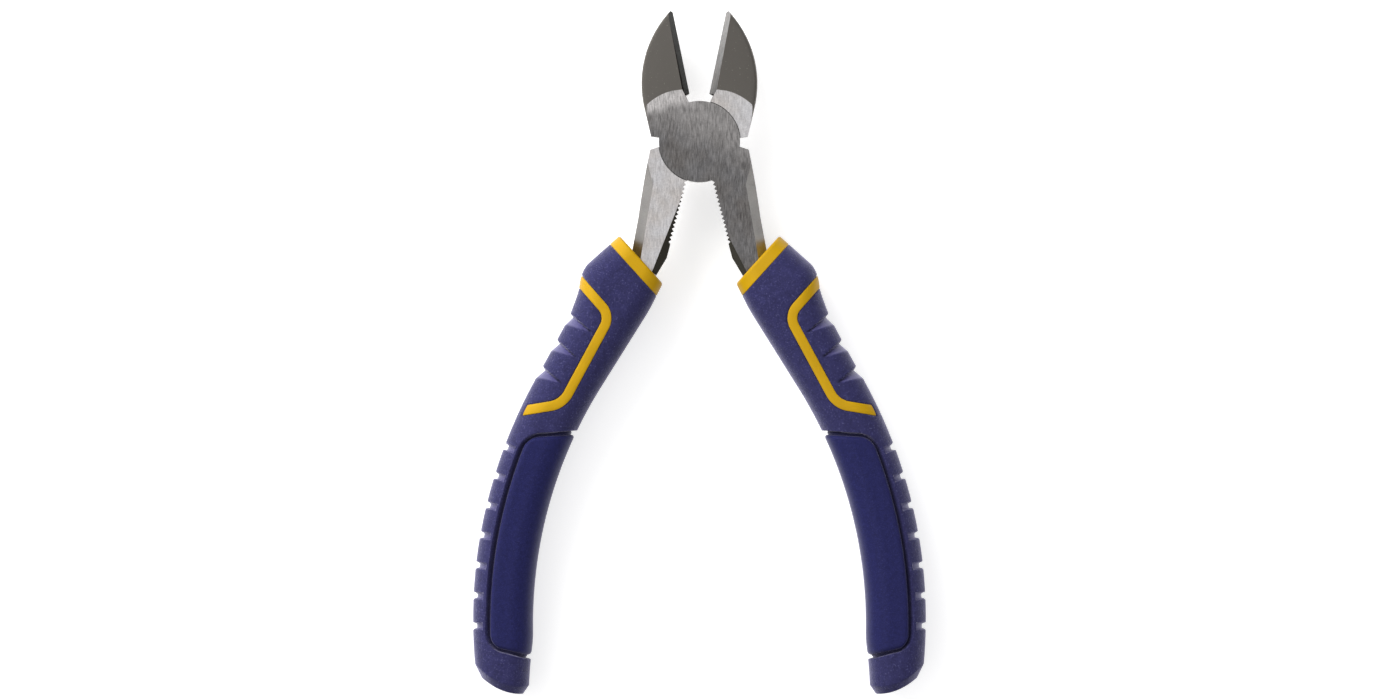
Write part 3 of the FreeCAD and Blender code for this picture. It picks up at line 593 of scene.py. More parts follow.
class Nodes:
    """Short words for laying out a node tree."""

    def __init__(self, tree):
        self.tree = tree

    def add(self, kind, **settings):
        """Add a node of a kind, with its settings."""
        node = self.tree.nodes.new(kind)
        for name, value in settings.items():
            setattr(node, name, value)
        return node

    def give(self, socket, source):
        """Link a socket to an output, or set its plain value."""
        if isinstance(source, bpy.types.NodeSocket):
            self.tree.links.new(source, socket)
        else:
            socket.default_value = source

    def feed(self, node, **inputs):
        """Give a node's inputs, named with underscores for spaces."""
        for name, source in inputs.items():
            self.give(node.inputs[name.replace("_", " ")], source)
        return node

    def put(self, wanted, **results):
        """Link results to the outputs of a group."""
        for name, result in results.items():
            self.tree.links.new(result, wanted[name])

    def math(self, operation, first, second=0.0):
        node = self.add("ShaderNodeMath", operation=operation)
        self.give(node.inputs[0], first)
        self.give(node.inputs[1], second)
        return node.outputs[0]

    def blended(self, first, second, part):
        """A sum of two values, of which the first makes up a part."""
        return self.math("ADD", self.math("MULTIPLY", first, part),
                         self.math("MULTIPLY", second, 1.0 - part))

    def parts(self, vector):
        """The parts of a vector across, up and in height."""
        node = self.add("ShaderNodeSeparateXYZ")
        self.give(node.inputs[0], vector)
        return tuple(node.outputs)

    def vector_math(self, operation, vector, second=None):
        """Work on a vector, with a second vector or, to scale it, a value."""
        node = self.add("ShaderNodeVectorMath", operation=operation)
        self.give(node.inputs[0], vector)
        if second is not None:
            self.give(node.inputs["Scale" if operation == "SCALE" else 1], second)
        return node.outputs["Value" if operation == "LENGTH" else "Vector"]

    def noise(self, vector, scale, detail=2.0, roughness=0.5):
        """Values round one half that change over the surface."""
        node = self.add("ShaderNodeTexNoise")
        self.feed(node, Vector=vector, Scale=scale, Detail=detail, Roughness=roughness)
        return node.outputs["Fac"]

    def ramp(self, value, low, high, low_out=0.0, high_out=1.0):
        """Carry a range of values over to another in a straight line."""
        node = self.add("ShaderNodeMapRange", clamp=True)
        self.feed(node, Value=value, From_Min=low, From_Max=high, To_Min=low_out,
                  To_Max=high_out)
        return node.outputs[0]

    def spread(self, noise, low_out, high_out, reach=0.2):
        """Spread the middle of a noise's values, within a reach of one half, over a range."""
        return self.ramp(noise, 0.5 - reach, 0.5 + reach, low_out, high_out)

    def soft_ramp(self, value, low, high):
        """Rise from zero to one over a range, eased at both ends."""
        node = self.add("ShaderNodeMapRange", interpolation_type="SMOOTHSTEP")
        self.feed(node, Value=value, From_Min=low, From_Max=high)
        return node.outputs[0]

    def mix(self, mask, first, second, kind="RGBA"):
        """Mix two colours, or two values where the kind is FLOAT."""
        node = self.add("ShaderNodeMix", data_type=kind)
        first_input, output = {"RGBA": (6, 2), "FLOAT": (2, 0)}[kind]
        self.give(node.inputs[0], mask)
        self.give(node.inputs[first_input], first)
        self.give(node.inputs[first_input + 1], second)
        return node.outputs[output]


def group(name, inputs, outputs):
    """A new node group with float inputs and outputs, and a vector to start from."""
    tree = bpy.data.node_groups.new(name, "ShaderNodeTree")
    tree.interface.new_socket(name="Vector", in_out="INPUT", socket_type="NodeSocketVector")
    for label, default in inputs.items():
        socket = tree.interface.new_socket(name=label, in_out="INPUT",
                                           socket_type="NodeSocketFloat")
        socket.default_value = default
    for label in outputs:
        tree.interface.new_socket(name=label, in_out="OUTPUT", socket_type="NodeSocketFloat")
    nodes = Nodes(tree)
    return nodes, nodes.add("NodeGroupInput").outputs, nodes.add("NodeGroupOutput").inputs


def group_once(name, build):
    """A shared effect, built the first time that it is asked for."""
    return bpy.data.node_groups.get(name) or build(name)


def build_brushed(name):
    """Scratches along the tool that wander a little, fine and broad, with slow changes of
    tone."""
    nodes, given, wanted = group(name, {"Scratches": 5600.0, "Length": 0.09},
                                 ("Scratch", "Tone"))
    place = given["Vector"]
    scratches = given["Scratches"]
    across, up, height = nodes.parts(place)
    wander = nodes.spread(nodes.noise(place, 120.0, 1.0), -0.45 * MM, 0.45 * MM, reach=0.3)
    lengthwise = nodes.feed(nodes.add("ShaderNodeCombineXYZ"),
                            X=nodes.math("ADD", across, wander),
                            Y=nodes.math("MULTIPLY", up, given["Length"]), Z=height).outputs[0]
    fine = nodes.noise(lengthwise, scratches, 3.0, 0.6)
    shorter = nodes.vector_math("MULTIPLY", lengthwise, (1.0, 2.2, 1.0))
    broad = nodes.noise(shorter, nodes.math("MULTIPLY", scratches, 0.36), 2.0)
    nodes.put(wanted, Scratch=nodes.blended(fine, broad, 0.65),
              Tone=nodes.noise(place, 190.0, 3.0))
    return nodes.tree


def build_specks(name):
    """Small scattered pits, and a fine overall tooth."""
    nodes, given, wanted = group(name, {"Size": 2600.0, "Share": 0.30}, ("Speck", "Tooth"))
    place = given["Vector"]
    full = nodes.math("SUBTRACT", given["Share"], 0.07)
    nodes.put(wanted,
              Speck=nodes.ramp(nodes.noise(place, given["Size"], 1.0), given["Share"], full),
              Tooth=nodes.noise(place, nodes.math("MULTIPLY", given["Size"], 2.2), 2.0, 0.7))
    return nodes.tree


def build_mould_grain(name):
    """The leathery grain of a spark-eroded mould, with slow patches and small glints."""
    nodes, given, wanted = group(name, {"Size": 3300.0}, ("Grain", "Patch", "Glint"))
    place = given["Vector"]
    fine = nodes.noise(place, given["Size"], 3.0, 0.6)
    broad = nodes.noise(place, nodes.math("MULTIPLY", given["Size"], 0.3), 1.0)
    nodes.put(wanted, Grain=nodes.blended(fine, broad, 0.7), Glint=nodes.ramp(fine, 0.60, 0.70),
              Patch=nodes.noise(place, 90.0, 2.0))
    return nodes.tree


def build_painted_reflection(name):
    """Where a painted reflection brightens the front lever's flat face: slowly towards the top of
    the boss, and most in a crescent under the jaw face."""
    nodes, given, wanted = group(name, {}, ("Sweep", "Crescent"))
    place = given["Vector"]
    wander = nodes.spread(nodes.noise(place, 260.0, 3.0), -1.4 * MM, 1.4 * MM, reach=0.3)
    across, up, _ = nodes.parts(nodes.vector_math("SUBTRACT", place, PIVOT))
    lean = nodes.math("ADD", nodes.math("MULTIPLY", across, 0.4),
                      nodes.math("MULTIPLY", up, 0.9))
    sweep = nodes.soft_ramp(nodes.math("ADD", lean, wander), -4.0 * MM, 5.5 * MM)
    steel = bpy.context.scene.pliers_steel
    crest = placement("right") @ Vector((steel.crest_across, steel.crest_up, 0.0))
    from_crest = nodes.vector_math("SUBTRACT", place, crest)
    reach = nodes.vector_math("LENGTH", nodes.vector_math("MULTIPLY", from_crest,
                                                          (1.0, 1.0, 0.0)))
    reach = nodes.math("ADD", reach, nodes.math("MULTIPLY", wander, 0.5))
    crescent = nodes.soft_ramp(reach, 6.9 * MM, 9.6 * MM)
    for value, low, high in ((up, 5.2 * MM, 7.6 * MM), (across, 0.0, -2.6 * MM)):
        crescent = nodes.math("MULTIPLY", crescent, nodes.soft_ramp(value, low, high))
    nodes.put(wanted, Sweep=sweep, Crescent=crescent)
    return nodes.tree


def build_dent_shades(name):
    """Painted shade of two small dents left by handling, one beside the ridge of each arm."""
    nodes, given, wanted = group(name, {}, ("Dent",))
    depths = []
    for across, up, wide, tall in DENT_SHADES:
        offset = nodes.vector_math("SUBTRACT", given["Vector"], (across * MM, up * MM, 0.0))
        shrunk = nodes.vector_math("MULTIPLY", offset,
                                   (1.0 / (wide * MM), 1.0 / (tall * MM), 0.0))
        depths.append(nodes.ramp(nodes.vector_math("LENGTH", shrunk), 1.25, 0.75))
    nodes.put(wanted, Dent=nodes.math("MAXIMUM", *depths))
    return nodes.tree


def placed(nodes, name, build, vector, **inputs):
    """The outputs of a shared effect, placed in a material with its own values."""
    node = nodes.add("ShaderNodeGroup", node_tree=group_once(name, build))
    nodes.feed(node, Vector=vector, **inputs)
    return node.outputs


def new_material(name, **plain):
    """A material with a Principled shader, its plain values, and object coordinates."""
    material = bpy.data.materials.new(name)
    material.use_nodes = True
    material.node_tree.nodes.clear()
    nodes = Nodes(material.node_tree)
    shader = nodes.feed(nodes.add("ShaderNodeBsdfPrincipled"), **plain)
    nodes.feed(nodes.add("ShaderNodeOutputMaterial"), Surface=shader.outputs[0])
    return material, nodes, shader, nodes.add("ShaderNodeTexCoord").outputs["Object"]


def tinged(tint, tinge):
    """An opaque colour from a tint, scaled channel by channel."""
    return (*(channel * part for channel, part in zip(tint, tinge)), 1.0)


def shaded(tint, part):
    """An opaque colour from a tint, scaled as one."""
    return tinged(tint, (part, part, part))


def bumped(nodes, shader, height, strength, depth):
    """Press a height into a surface."""
    bump = nodes.feed(nodes.add("ShaderNodeBump"), Height=height, Strength=strength,
                      Distance=depth)
    nodes.feed(shader, Normal=bump.outputs[0])


def forged_steel(name, tint):
    """Satin steel with a fine even tooth and slow changes of tone."""
    material, nodes, shader, place = new_material(name, Metallic=1.0)
    tooth = placed(nodes, "Specks", build_specks, place, Size=1500.0)["Tooth"]
    base = nodes.mix(nodes.spread(tooth, 0.0, 1.0), shaded(tint, 0.93), shaded(tint, 1.07))
    slow = nodes.spread(nodes.noise(place, 140.0, 2.0), 0.86, 1.1)
    nodes.feed(shader, Base_Color=nodes.vector_math("SCALE", base, slow),
               Roughness=nodes.spread(tooth, 0.42, 0.34))
    bumped(nodes, shader, tooth, 0.2, 0.04 * MM)
    return material


def ground_steel(name, tint, rough=0.34, painted_reflection=False, streaks=0.38):
    """Steel ground along the tool, streaked and a little blotchy, with the painted shade of two
    dents, and with a painted reflection in places."""
    material, nodes, shader, place = new_material(name, Metallic=1.0)
    brushed = placed(nodes, "Brushed grain", build_brushed, place)
    warm = tinged(tint, (0.94, 0.92, 0.90))
    cool = tinged(tint, (1.04, 1.06, 1.09))
    base = nodes.mix(nodes.spread(brushed["Tone"], 0.0, 1.0, reach=0.15), warm, cool)
    # Painted reflection: lighter towards the top of the boss, and far lighter in a crescent under
    # the jaw face
    if painted_reflection:
        reflection_paint = placed(nodes, "Painted reflection", build_painted_reflection, place)
        base = nodes.mix(reflection_paint["Sweep"], base, shaded(tint, 1.75))
        base = nodes.mix(reflection_paint["Crescent"], base, shaded(tint, 3.3))
    bright = nodes.spread(brushed["Scratch"], 1.0 - streaks, 1.0 + streaks, reach=0.14)
    tooth = placed(nodes, "Specks", build_specks, place, Size=1300.0)["Tooth"]
    blotch = nodes.spread(tooth, 0.90, 1.10, reach=0.18)
    # Painted shade: the steel is darkened in two small spots where dents would be
    dent_shade = placed(nodes, "Dents", build_dent_shades, place)["Dent"]
    shade = nodes.math("MULTIPLY", blotch, nodes.ramp(dent_shade, 0.0, 1.0, 1.0, 0.62))
    shade = nodes.math("MULTIPLY", bright, shade)
    nodes.feed(shader, Base_Color=nodes.vector_math("SCALE", base, shade),
               Roughness=nodes.spread(brushed["Scratch"], rough + 0.08, rough - 0.04))
    bumped(nodes, shader, brushed["Scratch"], 0.25, 0.03 * MM)
    return material


def dull_black_steel(name, tint):
    """Steel under a dull black oxide. On the front jaw's cutting bevel the same black is
    painted shade.
    """
    material, nodes, shader, place = new_material(name, Metallic=0.0, IOR=1.4,
                                                  Specular_IOR_Level=0.1)
    tooth = placed(nodes, "Specks", build_specks, place)["Tooth"]
    base = nodes.mix(tooth, shaded(tint, 0.6), shaded(tint, 1.5))
    nodes.feed(shader, Base_Color=base, Roughness=nodes.spread(tooth, 0.45, 0.6))
    bumped(nodes, shader, tooth, 0.4, 0.05 * MM)
    return material


def blasted_steel(name, tint):
    """Grey blasted steel with a few bright pits."""
    material, nodes, shader, place = new_material(name, Metallic=0.85)
    specks = placed(nodes, "Specks", build_specks, place)
    tooth = specks["Tooth"]
    base = nodes.mix(tooth, shaded(tint, 0.88), shaded(tint, 1.12))
    base = nodes.mix(nodes.math("MULTIPLY", specks["Speck"], 0.5), base, shaded(tint, 2.2))
    nodes.feed(shader, Base_Color=base, Roughness=nodes.spread(tooth, 0.5, 0.62))
    bumped(nodes, shader, tooth, 0.35, 0.04 * MM)
    return material


def hard_plastic(name, tint):
    """Smooth hard moulding with slow changes of tone."""
    material, nodes, shader, place = new_material(name, IOR=1.5, Specular_IOR_Level=0.2)
    grain = placed(nodes, "Mould grain", build_mould_grain, place, Size=2400.0)
    base = nodes.mix(nodes.spread(grain["Patch"], 0.0, 1.0), shaded(tint, 0.93),
                     shaded(tint, 1.07))
    nodes.feed(shader, Base_Color=base, Roughness=nodes.spread(grain["Grain"], 0.38, 0.48))
    bumped(nodes, shader, grain["Grain"], 0.12, 0.05 * MM)
    return material


def soft_plastic(name, tint, grain_size, grain_depth, rough, glint, sheen):
    """Soft grained moulding with painted glints, which are also glossy. Painted shade darkens
    its hollows, and where it is scooped out it is smooth and glossy, with a painted sheen."""
    # Painted glint: the grain's peaks are painted pale, as well as getting a glossy coat
    pale = (0.12, 0.12, 0.26, 1.0)
    painted_scoop_sheen = (0.10, 0.09, 0.25, 1.0)
    material, nodes, shader, place = new_material(
        name, IOR=1.5, Specular_IOR_Level=0.16, Sheen_Weight=sheen, Sheen_Roughness=0.4,
        Sheen_Tint=(0.74, 0.71, 1.0, 1.0), Coat_Roughness=0.3)
    grain = placed(nodes, "Mould grain", build_mould_grain, place, Size=grain_size)
    base = nodes.mix(nodes.spread(grain["Grain"], 0.0, 1.0, reach=0.15), shaded(tint, 0.75),
                     shaded(tint, 1.25))
    glints = nodes.math("MULTIPLY", grain["Glint"], glint)
    base = nodes.mix(glints, base, pale)
    hollow_shade, scooped = (nodes.add("ShaderNodeAttribute", attribute_name=layer).outputs["Fac"]
                       for layer in ("hollow_shade", "scooped"))
    # Painted shade in the hollows
    base = nodes.mix(nodes.ramp(hollow_shade, 0.2, 1.0, 0.0, 0.75), base, shaded(tint, 0.25))
    # Painted sheen: scooped places are painted paler violet, besides their real glossy coat
    base = nodes.mix(nodes.math("MULTIPLY", scooped, 0.5), base, painted_scoop_sheen)
    coat = nodes.math("MAXIMUM", nodes.math("MULTIPLY", scooped, 0.6), glints)
    nodes.feed(shader, Base_Color=base, Coat_Weight=coat,
               Roughness=nodes.spread(grain["Grain"], rough + 0.06, rough - 0.06))
    bumped(nodes, shader, grain["Grain"], grain_depth, 0.2 * MM)
    return material


# Operators


def nearest(bm, corner, height):
    """The vertex nearest to a corner in plan, in millimetres, at a height."""
    place = Vector((corner[0] * MM, corner[1] * MM, height))
    return min(bm.verts, key=lambda point: (point.co - place).length)


class PliersLevers(bpy.types.Operator):
    """Finish both levers, with broken edges and each surface as it is machined"""
    bl_idname = "pliers.levers"
    bl_label = "Levers"

    GROUND, JAW, BLACK, FORGED, CUTTING, BROKEN = range(6)

    # How far a face's normal has to point up or down to be flat, and to be level
    FLAT = 0.85
    LEVEL = 0.9999

    # How far a face's normal points towards the other lever on a cutting bevel, and at most
    # on the teeth and on their broken edges
    CUTTING_TURN = 0.9
    TEETH_TURN = 0.2
    TEETH_EDGE_TURN = 0.15

    # How sharp an edge is where it is broken, beside a jaw face and elsewhere
    JAW_CREASE = math.radians(35)
    CREASE = math.radians(27)

    NEARLY_FLAT = math.radians(0.5)
    SMOOTH = math.radians(24)
    BOSS_REACH = 0.5 * MM

    def execute(self, context):
        finish = context.scene.pliers_finish
        steel = context.scene.pliers_steel
        jaw = blasted_steel("jaw_face_steel", finish.jaw_steel)
        black = dull_black_steel("dull_black_steel", finish.black_steel)
        # Painted shade: the front jaw's cutting bevel is painted near black
        painted_shade = dull_black_steel("front_bevel_painted_shade", finish.front_bevel_shade)
        forged = forged_steel("forged_steel", finish.forged_steel)
        # Broken edges: lighter for wear, and partly as a painted highlight
        broken = ground_steel("broken_edge_steel", finish.edge_wear_and_highlight, rough=0.3)
        cutting = ground_steel("cutting_bevel_steel", finish.cutting_steel)
        for hand, node in HAND_LEVERS.items():
            if hand == "right":
                # Front lever: its steel painted dark, with a painted reflection on its flat face
                ground = ground_steel("front_ground_steel", finish.front_steel_shaded, painted_reflection=True)
                materials = [ground, jaw, black, forged, painted_shade, broken]
            else:
                # Rear lever: its steel painted light, as a painted reflection
                ground = ground_steel("rear_ground_steel", finish.rear_steel_lit, streaks=0.19)
                materials = [ground, jaw, black, forged, cutting, broken]
            bm = bmesh.new()
            bm.from_mesh(frame["nodes"][node].data)
            bmesh.ops.remove_doubles(bm, verts=bm.verts, dist=TINY)
            bmesh.ops.dissolve_limit(bm, angle_limit=self.NEARLY_FLAT, verts=bm.verts,
                                     edges=bm.edges)
            bmesh.ops.transform(bm, matrix=placement(hand).inverted(), verts=bm.verts)
            self.sort_faces(bm, steel)
            for side in (1.0, -1.0):
                self.relieve_heel(bm, steel, side)
                self.straighten_arm(bm, steel, side)
            self.break_edges(bm, steel)
            piece = finished(carried(bm, hand), f"{hand}_lever", materials, self.SMOOTH,
                             flat=(self.GROUND,))
            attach(piece, HAND_BODIES[hand])
            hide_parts(node)
        return {"FINISHED"}

    def sort_faces(self, bm, steel):
        """Give each face its finish, from its place and normal on the shut tool."""
        crest = Vector((steel.crest_across, steel.crest_up))
        for face in bm.faces:
            place = face.calc_center_median()
            normal = face.normal
            flat = abs(normal.z) > self.FLAT
            if flat and place.y > 0.0 and (place.xy - crest).length > steel.crest_radius:
                face.material_index = self.JAW if abs(normal.z) < self.LEVEL else self.GROUND
            elif flat:
                face.material_index = self.GROUND
            elif place.y > steel.jaw_foot and normal.x > self.CUTTING_TURN:
                face.material_index = self.CUTTING
            elif place.y < steel.teeth_top and normal.x < self.TEETH_TURN:
                face.material_index = self.BLACK
            else:
                face.material_index = self.FORGED

    def relieve_heel(self, bm, steel, side):
        """Turn the lower end of a jaw's ridge towards the boss, and let the heel fall away
        from it as a facet."""
        top, bend, edge, under, foot = (nearest(bm, corner, side * steel.half_lap)
                                        for corner in HEEL_CORNERS.values())
        top.co.x = -steel.heel_top
        line = (foot.co - top.co).xy
        bend.co.x = top.co.x + line.x * (bend.co.y - top.co.y) / line.y
        bmesh.ops.connect_vert_pair(bm, verts=[bend, foot])
        under.co.x = top.co.x + line.x * (under.co.y - top.co.y) / line.y + steel.heel_step
        line.normalize()
        for point in (edge, under):
            beside = abs((point.co - top.co).xy.cross(line))
            point.co.z -= side * beside * steel.heel_fall
        for face in under.link_faces:
            if bend in face.verts and foot in face.verts:
                face.material_index = self.CUTTING

    def straighten_arm(self, bm, steel, side):
        """Carry the outer side of the bare arm straight on into the grip."""
        corner = nearest(bm, ARM_WAIST, side * ARM_WAIST_HEIGHT)
        corner.co = (steel.arm_across, steel.arm_up, side * steel.arm_deep)

    def break_edges(self, bm, steel):
        """Break the convex edges: widely round the jaws' outer side, and lightly elsewhere."""
        def convex(edge, least):
            return len(edge.link_faces) == 2 and edge.calc_face_angle_signed() > least

        outer = [edge for edge in bm.edges if convex(edge, self.JAW_CREASE)
                 and sorted(face.material_index for face in edge.link_faces)
                 == [self.JAW, self.FORGED]]
        bmesh.ops.bevel(bm, geom=outer, offset=steel.jaw_edge, segments=5, profile=0.5,
                        affect="EDGES", material=self.JAW, clamp_overlap=False)
        corners = [edge for edge in bm.edges if convex(edge, self.CREASE)
                   and edge.verts[0].co.xy.length > steel.rivet_clear]
        bmesh.ops.bevel(bm, geom=corners, offset=steel.broken_edge, segments=2, profile=0.5,
                        affect="EDGES", material=self.BROKEN, clamp_overlap=True)
        for face in bm.faces:
            place = face.calc_center_median()
            on_boss = abs(place.xy.length - steel.boss) < self.BOSS_REACH
            on_teeth = place.y < steel.teeth_top and face.normal.x < self.TEETH_EDGE_TURN
            if face.material_index == self.BROKEN and (on_boss or on_teeth):
                face.material_index = self.BLACK
            elif face.material_index == self.BROKEN and place.y > steel.edge_foot:
                face.material_index = self.JAW


class PliersRivet(bpy.types.Operator):
    """Finish the pivot rivet, ground flush with the head"""
    bl_idname = "pliers.rivet"
    bl_label = "Rivet"

    def execute(self, context):
        rivet = frame["nodes"]["pivot_rivet"]
        # The rivet takes the front lever's painted dark steel and painted reflection, so that it
        # blends into the boss
        steel = ground_steel("rivet_ground_steel", context.scene.pliers_finish.front_steel_shaded,
                             painted_reflection=True)
        rivet.data.materials.clear()
        rivet.data.materials.append(steel)
        return {"FINISHED"}


def end_rows(corner, depth, run, steps):
    """Rings that close a form at an end, from its middle out to an inset, at one run line."""
    rows = [(run, corner, ring / CAP_RINGS) for ring in range(CAP_RINGS + 1)]
    rows += [(run, corner + (depth - corner) * step / steps, 1.0) for step in range(1, steps + 1)]
    return rows


def raised(line, rise):
    """A run line moved along the grip."""
    return lambda out: line(out) + rise


def part_way(low_line, top_line, part):
    """The run line a part of the way from one run line to another."""
    return lambda out: low_line(out) * (1 - part) + top_line(out) * part


def closed_form(grip, columns, rows):
    """A closed tube on the grip's section. A row is a function from reach outward to run,
    an inset, and a share to which the core is shrunk."""
    def where(around, along):
        run_at, inset, shrink = rows[round(along * (len(rows) - 1))]
        out_share, up_share, side, face = grip.section(around)
        section = (out_share * shrink, up_share * shrink, side, face)
        run = run_at(0.0)
        for _ in range(SETTLING):
            out, up = grip.form(run, section, inset)
            run = run_at(out)
        return grip.place(run, out, up)

    bm = mapped_grid(columns, len(rows) - 1, where)
    bmesh.ops.remove_doubles(bm, verts=bm.verts, dist=TINY)
    bmesh.ops.recalc_face_normals(bm, faces=bm.faces)
    return bm


class PliersGripShells(bpy.types.Operator):
    """Mould the soft grip shells, with pad recess, thumb scallops and edge notches"""
    bl_idname = "pliers.grip_shells"
    bl_label = "Grip Shells"

    columns: count("Columns", "Faces round the grip", 192)
    rings: count("Rings", "Faces along the grip", 380)

    END_STEPS = 5
    BEVEL_STEPS = 6
    WALL_STEPS = 4
    ROUND_STEPS = 3
    TOP_STEPS = 3
    TOP_ROUND = 0.3 * MM

    # Shares of the rings below, beside and above the finger pad
    BELOW_PAD, BESIDE_PAD, ABOVE_PAD = 0.08, 0.48, 0.44

    # Where the moulding is carved: from above the butt, up to a run
    CARVED_ABOVE = 2.5 * MM
    CARVED_TO = 66.0 * MM

    # The groove round the pad: its middle and half its width, to the gap's width
    GROOVE_MIDDLE = 0.55
    GROOVE_HALF = 0.45
    GROOVE_SHARPNESS = 2.0

    # The recess's painted shade is lighter under the pad, from a share of the gap's width
    UNDER_PAD = 0.4
    UNDER_PAD_LESS_SHADE = 0.35

    # The channel round the rib: its runs, where its side leg starts, the clearance past the
    # rib's end and the width of its wall, to the wall of the recess
    CHANNEL_RUNS = (24.0 * MM, 62.0 * MM)
    CHANNEL_BEND = 40.0 * MM
    CHANNEL_CLEAR = 0.3 * MM
    CHANNEL_WALL = 0.6

    # Painted shade and smoothness of a notch, and how fast a scoop turns smooth with its depth
    NOTCH_SHADE = 0.75
    NOTCH_SMOOTH = 0.35
    SMOOTH_RISE = 4.0

    # The share of a scallop in which it gets deep, and the reach of the painted shade at its foot
    SCALLOP_TIP = 0.125
    FOOT_REACH = 1.3

    def execute(self, context):
        scene = context.scene
        grip = Grip(scene)
        sizes = scene.pliers_grip
        pad = scene.pliers_pad
        low = grip.run_at_butt

        def top(out):
            return grip.run_on_collar(out, sizes.collar_height)

        def border(point, fall, below=0.0):
            return lambda out: grip.run_on_line(point, fall, out, below)

        rows = end_rows(grip.corner, sizes.butt_bevel_depth, low, self.END_STEPS)
        for step in range(1, self.BEVEL_STEPS + 1):
            part = step / self.BEVEL_STEPS
            rows.append((raised(low, sizes.butt_bevel * part),
                         sizes.butt_bevel_depth * (1 - part), 1.0))
        borders = (raised(low, sizes.butt_bevel), border(grip.pad_low, -pad.low_slope),
                   border(grip.pad_low, -pad.low_slope, -sizes.wall),
                   border(grip.pad_top, pad.top_slope, sizes.wall),
                   border(grip.pad_top, pad.top_slope), raised(top, -self.TOP_ROUND))
        stretches = (round(self.BELOW_PAD * self.rings), self.WALL_STEPS,
                     round(self.BESIDE_PAD * self.rings), self.WALL_STEPS,
                     round(self.ABOVE_PAD * self.rings))
        for low_side, top_side, steps in zip(borders, borders[1:], stretches):
            for step in range(1, steps + 1):
                rows.append((part_way(low_side, top_side, step / steps), 0.0, 1.0))
        rows.pop()
        for step in range(self.ROUND_STEPS + 1):
            angle = math.pi / 2 * step / self.ROUND_STEPS
            rows.append((raised(top, -self.TOP_ROUND * (1 - math.sin(angle))),
                         self.TOP_ROUND * (1 - math.cos(angle)), 1.0))
        rows += list(reversed(end_rows(grip.corner, self.TOP_ROUND, top, self.TOP_STEPS)))[1:]
        columns = self.columns
        bm = closed_form(grip, columns, rows)
        self.carve(bm, scene, grip, RibLine(scene))
        rubber = soft_plastic("grip_shell_rubber", scene.pliers_finish.blue, grain_size=2700.0,
                              grain_depth=0.8, rough=0.5, glint=0.35, sheen=0.55)
        for_both_hands(bm, "shell", "grip_shell", [rubber])
        return {"FINISHED"}

    def carve(self, bm, scene, grip, rib):
        """Lower the surface where the moulding has its recess, scallops, notches and seam, and
        store painted shade for them and a mask of the smooth scoops.
        """
        touch = scene.pliers_touch
        pad = scene.pliers_pad
        ribs = scene.pliers_rib
        relief = scene.pliers_grip.relief
        wall = scene.pliers_grip.wall
        hollow_shade = bm.verts.layers.float.new("hollow_shade")
        scooped = bm.verts.layers.float.new("scooped")
        for point in bm.verts:
            run, out = grip.reading(point.co)
            if run < grip.butt_run + self.CARVED_ABOVE or run > self.CARVED_TO:
                continue
            inside = grip.inside_recess(point.co, out)
            across = inside / pad.groove
            groove = max(1.0 - abs(across - self.GROOVE_MIDDLE) / self.GROOVE_HALF, 0.0)
            recess = relief * eased(inside / wall) \
                + pad.groove_sink * eased(self.GROOVE_SHARPNESS * groove)
            # Painted shade: the recess, the notches, the scallops' feet and the seam round the rib
            # are darkened
            painted_shade = eased(inside / wall) \
                * (1.0 - self.UNDER_PAD_LESS_SHADE * eased(across - self.UNDER_PAD))
            notch = self.notch_drop(touch, run, out, wall)
            scallop, foot = self.scallop_drop(touch, grip, run, out, wall)
            drop = max(recess, notch, scallop)
            painted_shade = max(painted_shade, self.NOTCH_SHADE * notch / touch.notch_depth, foot)
            if self.CHANNEL_RUNS[0] < run < self.CHANNEL_RUNS[1]:
                beside = rib.distance(point.co.xy) - ribs.width / 2 - ribs.seam
                seam = eased(-beside / (self.CHANNEL_WALL * wall))
                if run < self.CHANNEL_BEND:
                    seam *= eased((ribs.end_out + self.CHANNEL_CLEAR - out) / wall)
                drop = max(drop, ribs.seam_depth * seam)
                painted_shade = max(painted_shade, seam)
            if drop > 0.0:
                point[hollow_shade] = painted_shade
                # Where scooped: a glossy coat and a painted sheen
                smooth = max(scallop * (1.0 - foot), self.NOTCH_SMOOTH * notch)
                point[scooped] = eased(self.SMOOTH_RISE * smooth / touch.notch_depth)
                point.co += self.inward(grip, run, out, point.co.z) * drop

    def inward(self, grip, run, out, up):
        """The direction into the grip, square to its form."""
        inner, outer, half = grip.core(run)
        side = out - min(max(out, -inner), outer)
        face = up - min(max(up, -half), half)
        across = grip.place(run, MM) - grip.place(run, 0.0)
        if math.hypot(side, face) < TINY:
            return Vector((0.0, 0.0, -1.0 if up > 0 else 1.0))
        return -(across.normalized() * side + Vector((0.0, 0.0, face))).normalized()

    def notch_drop(self, touch, run, out, wall):
        """The depth of the notches at a place."""
        nearest = round((touch.notch_first - run) / touch.notch_pitch)
        nearest = min(max(nearest, 0), touch.notch_count - 1)
        beside = abs(run - (touch.notch_first - nearest * touch.notch_pitch))
        inside = min(touch.notch_width / 2 + wall / 2 - beside,
                     out - touch.notch_inner + wall / 2)
        return touch.notch_depth * eased(inside / wall)

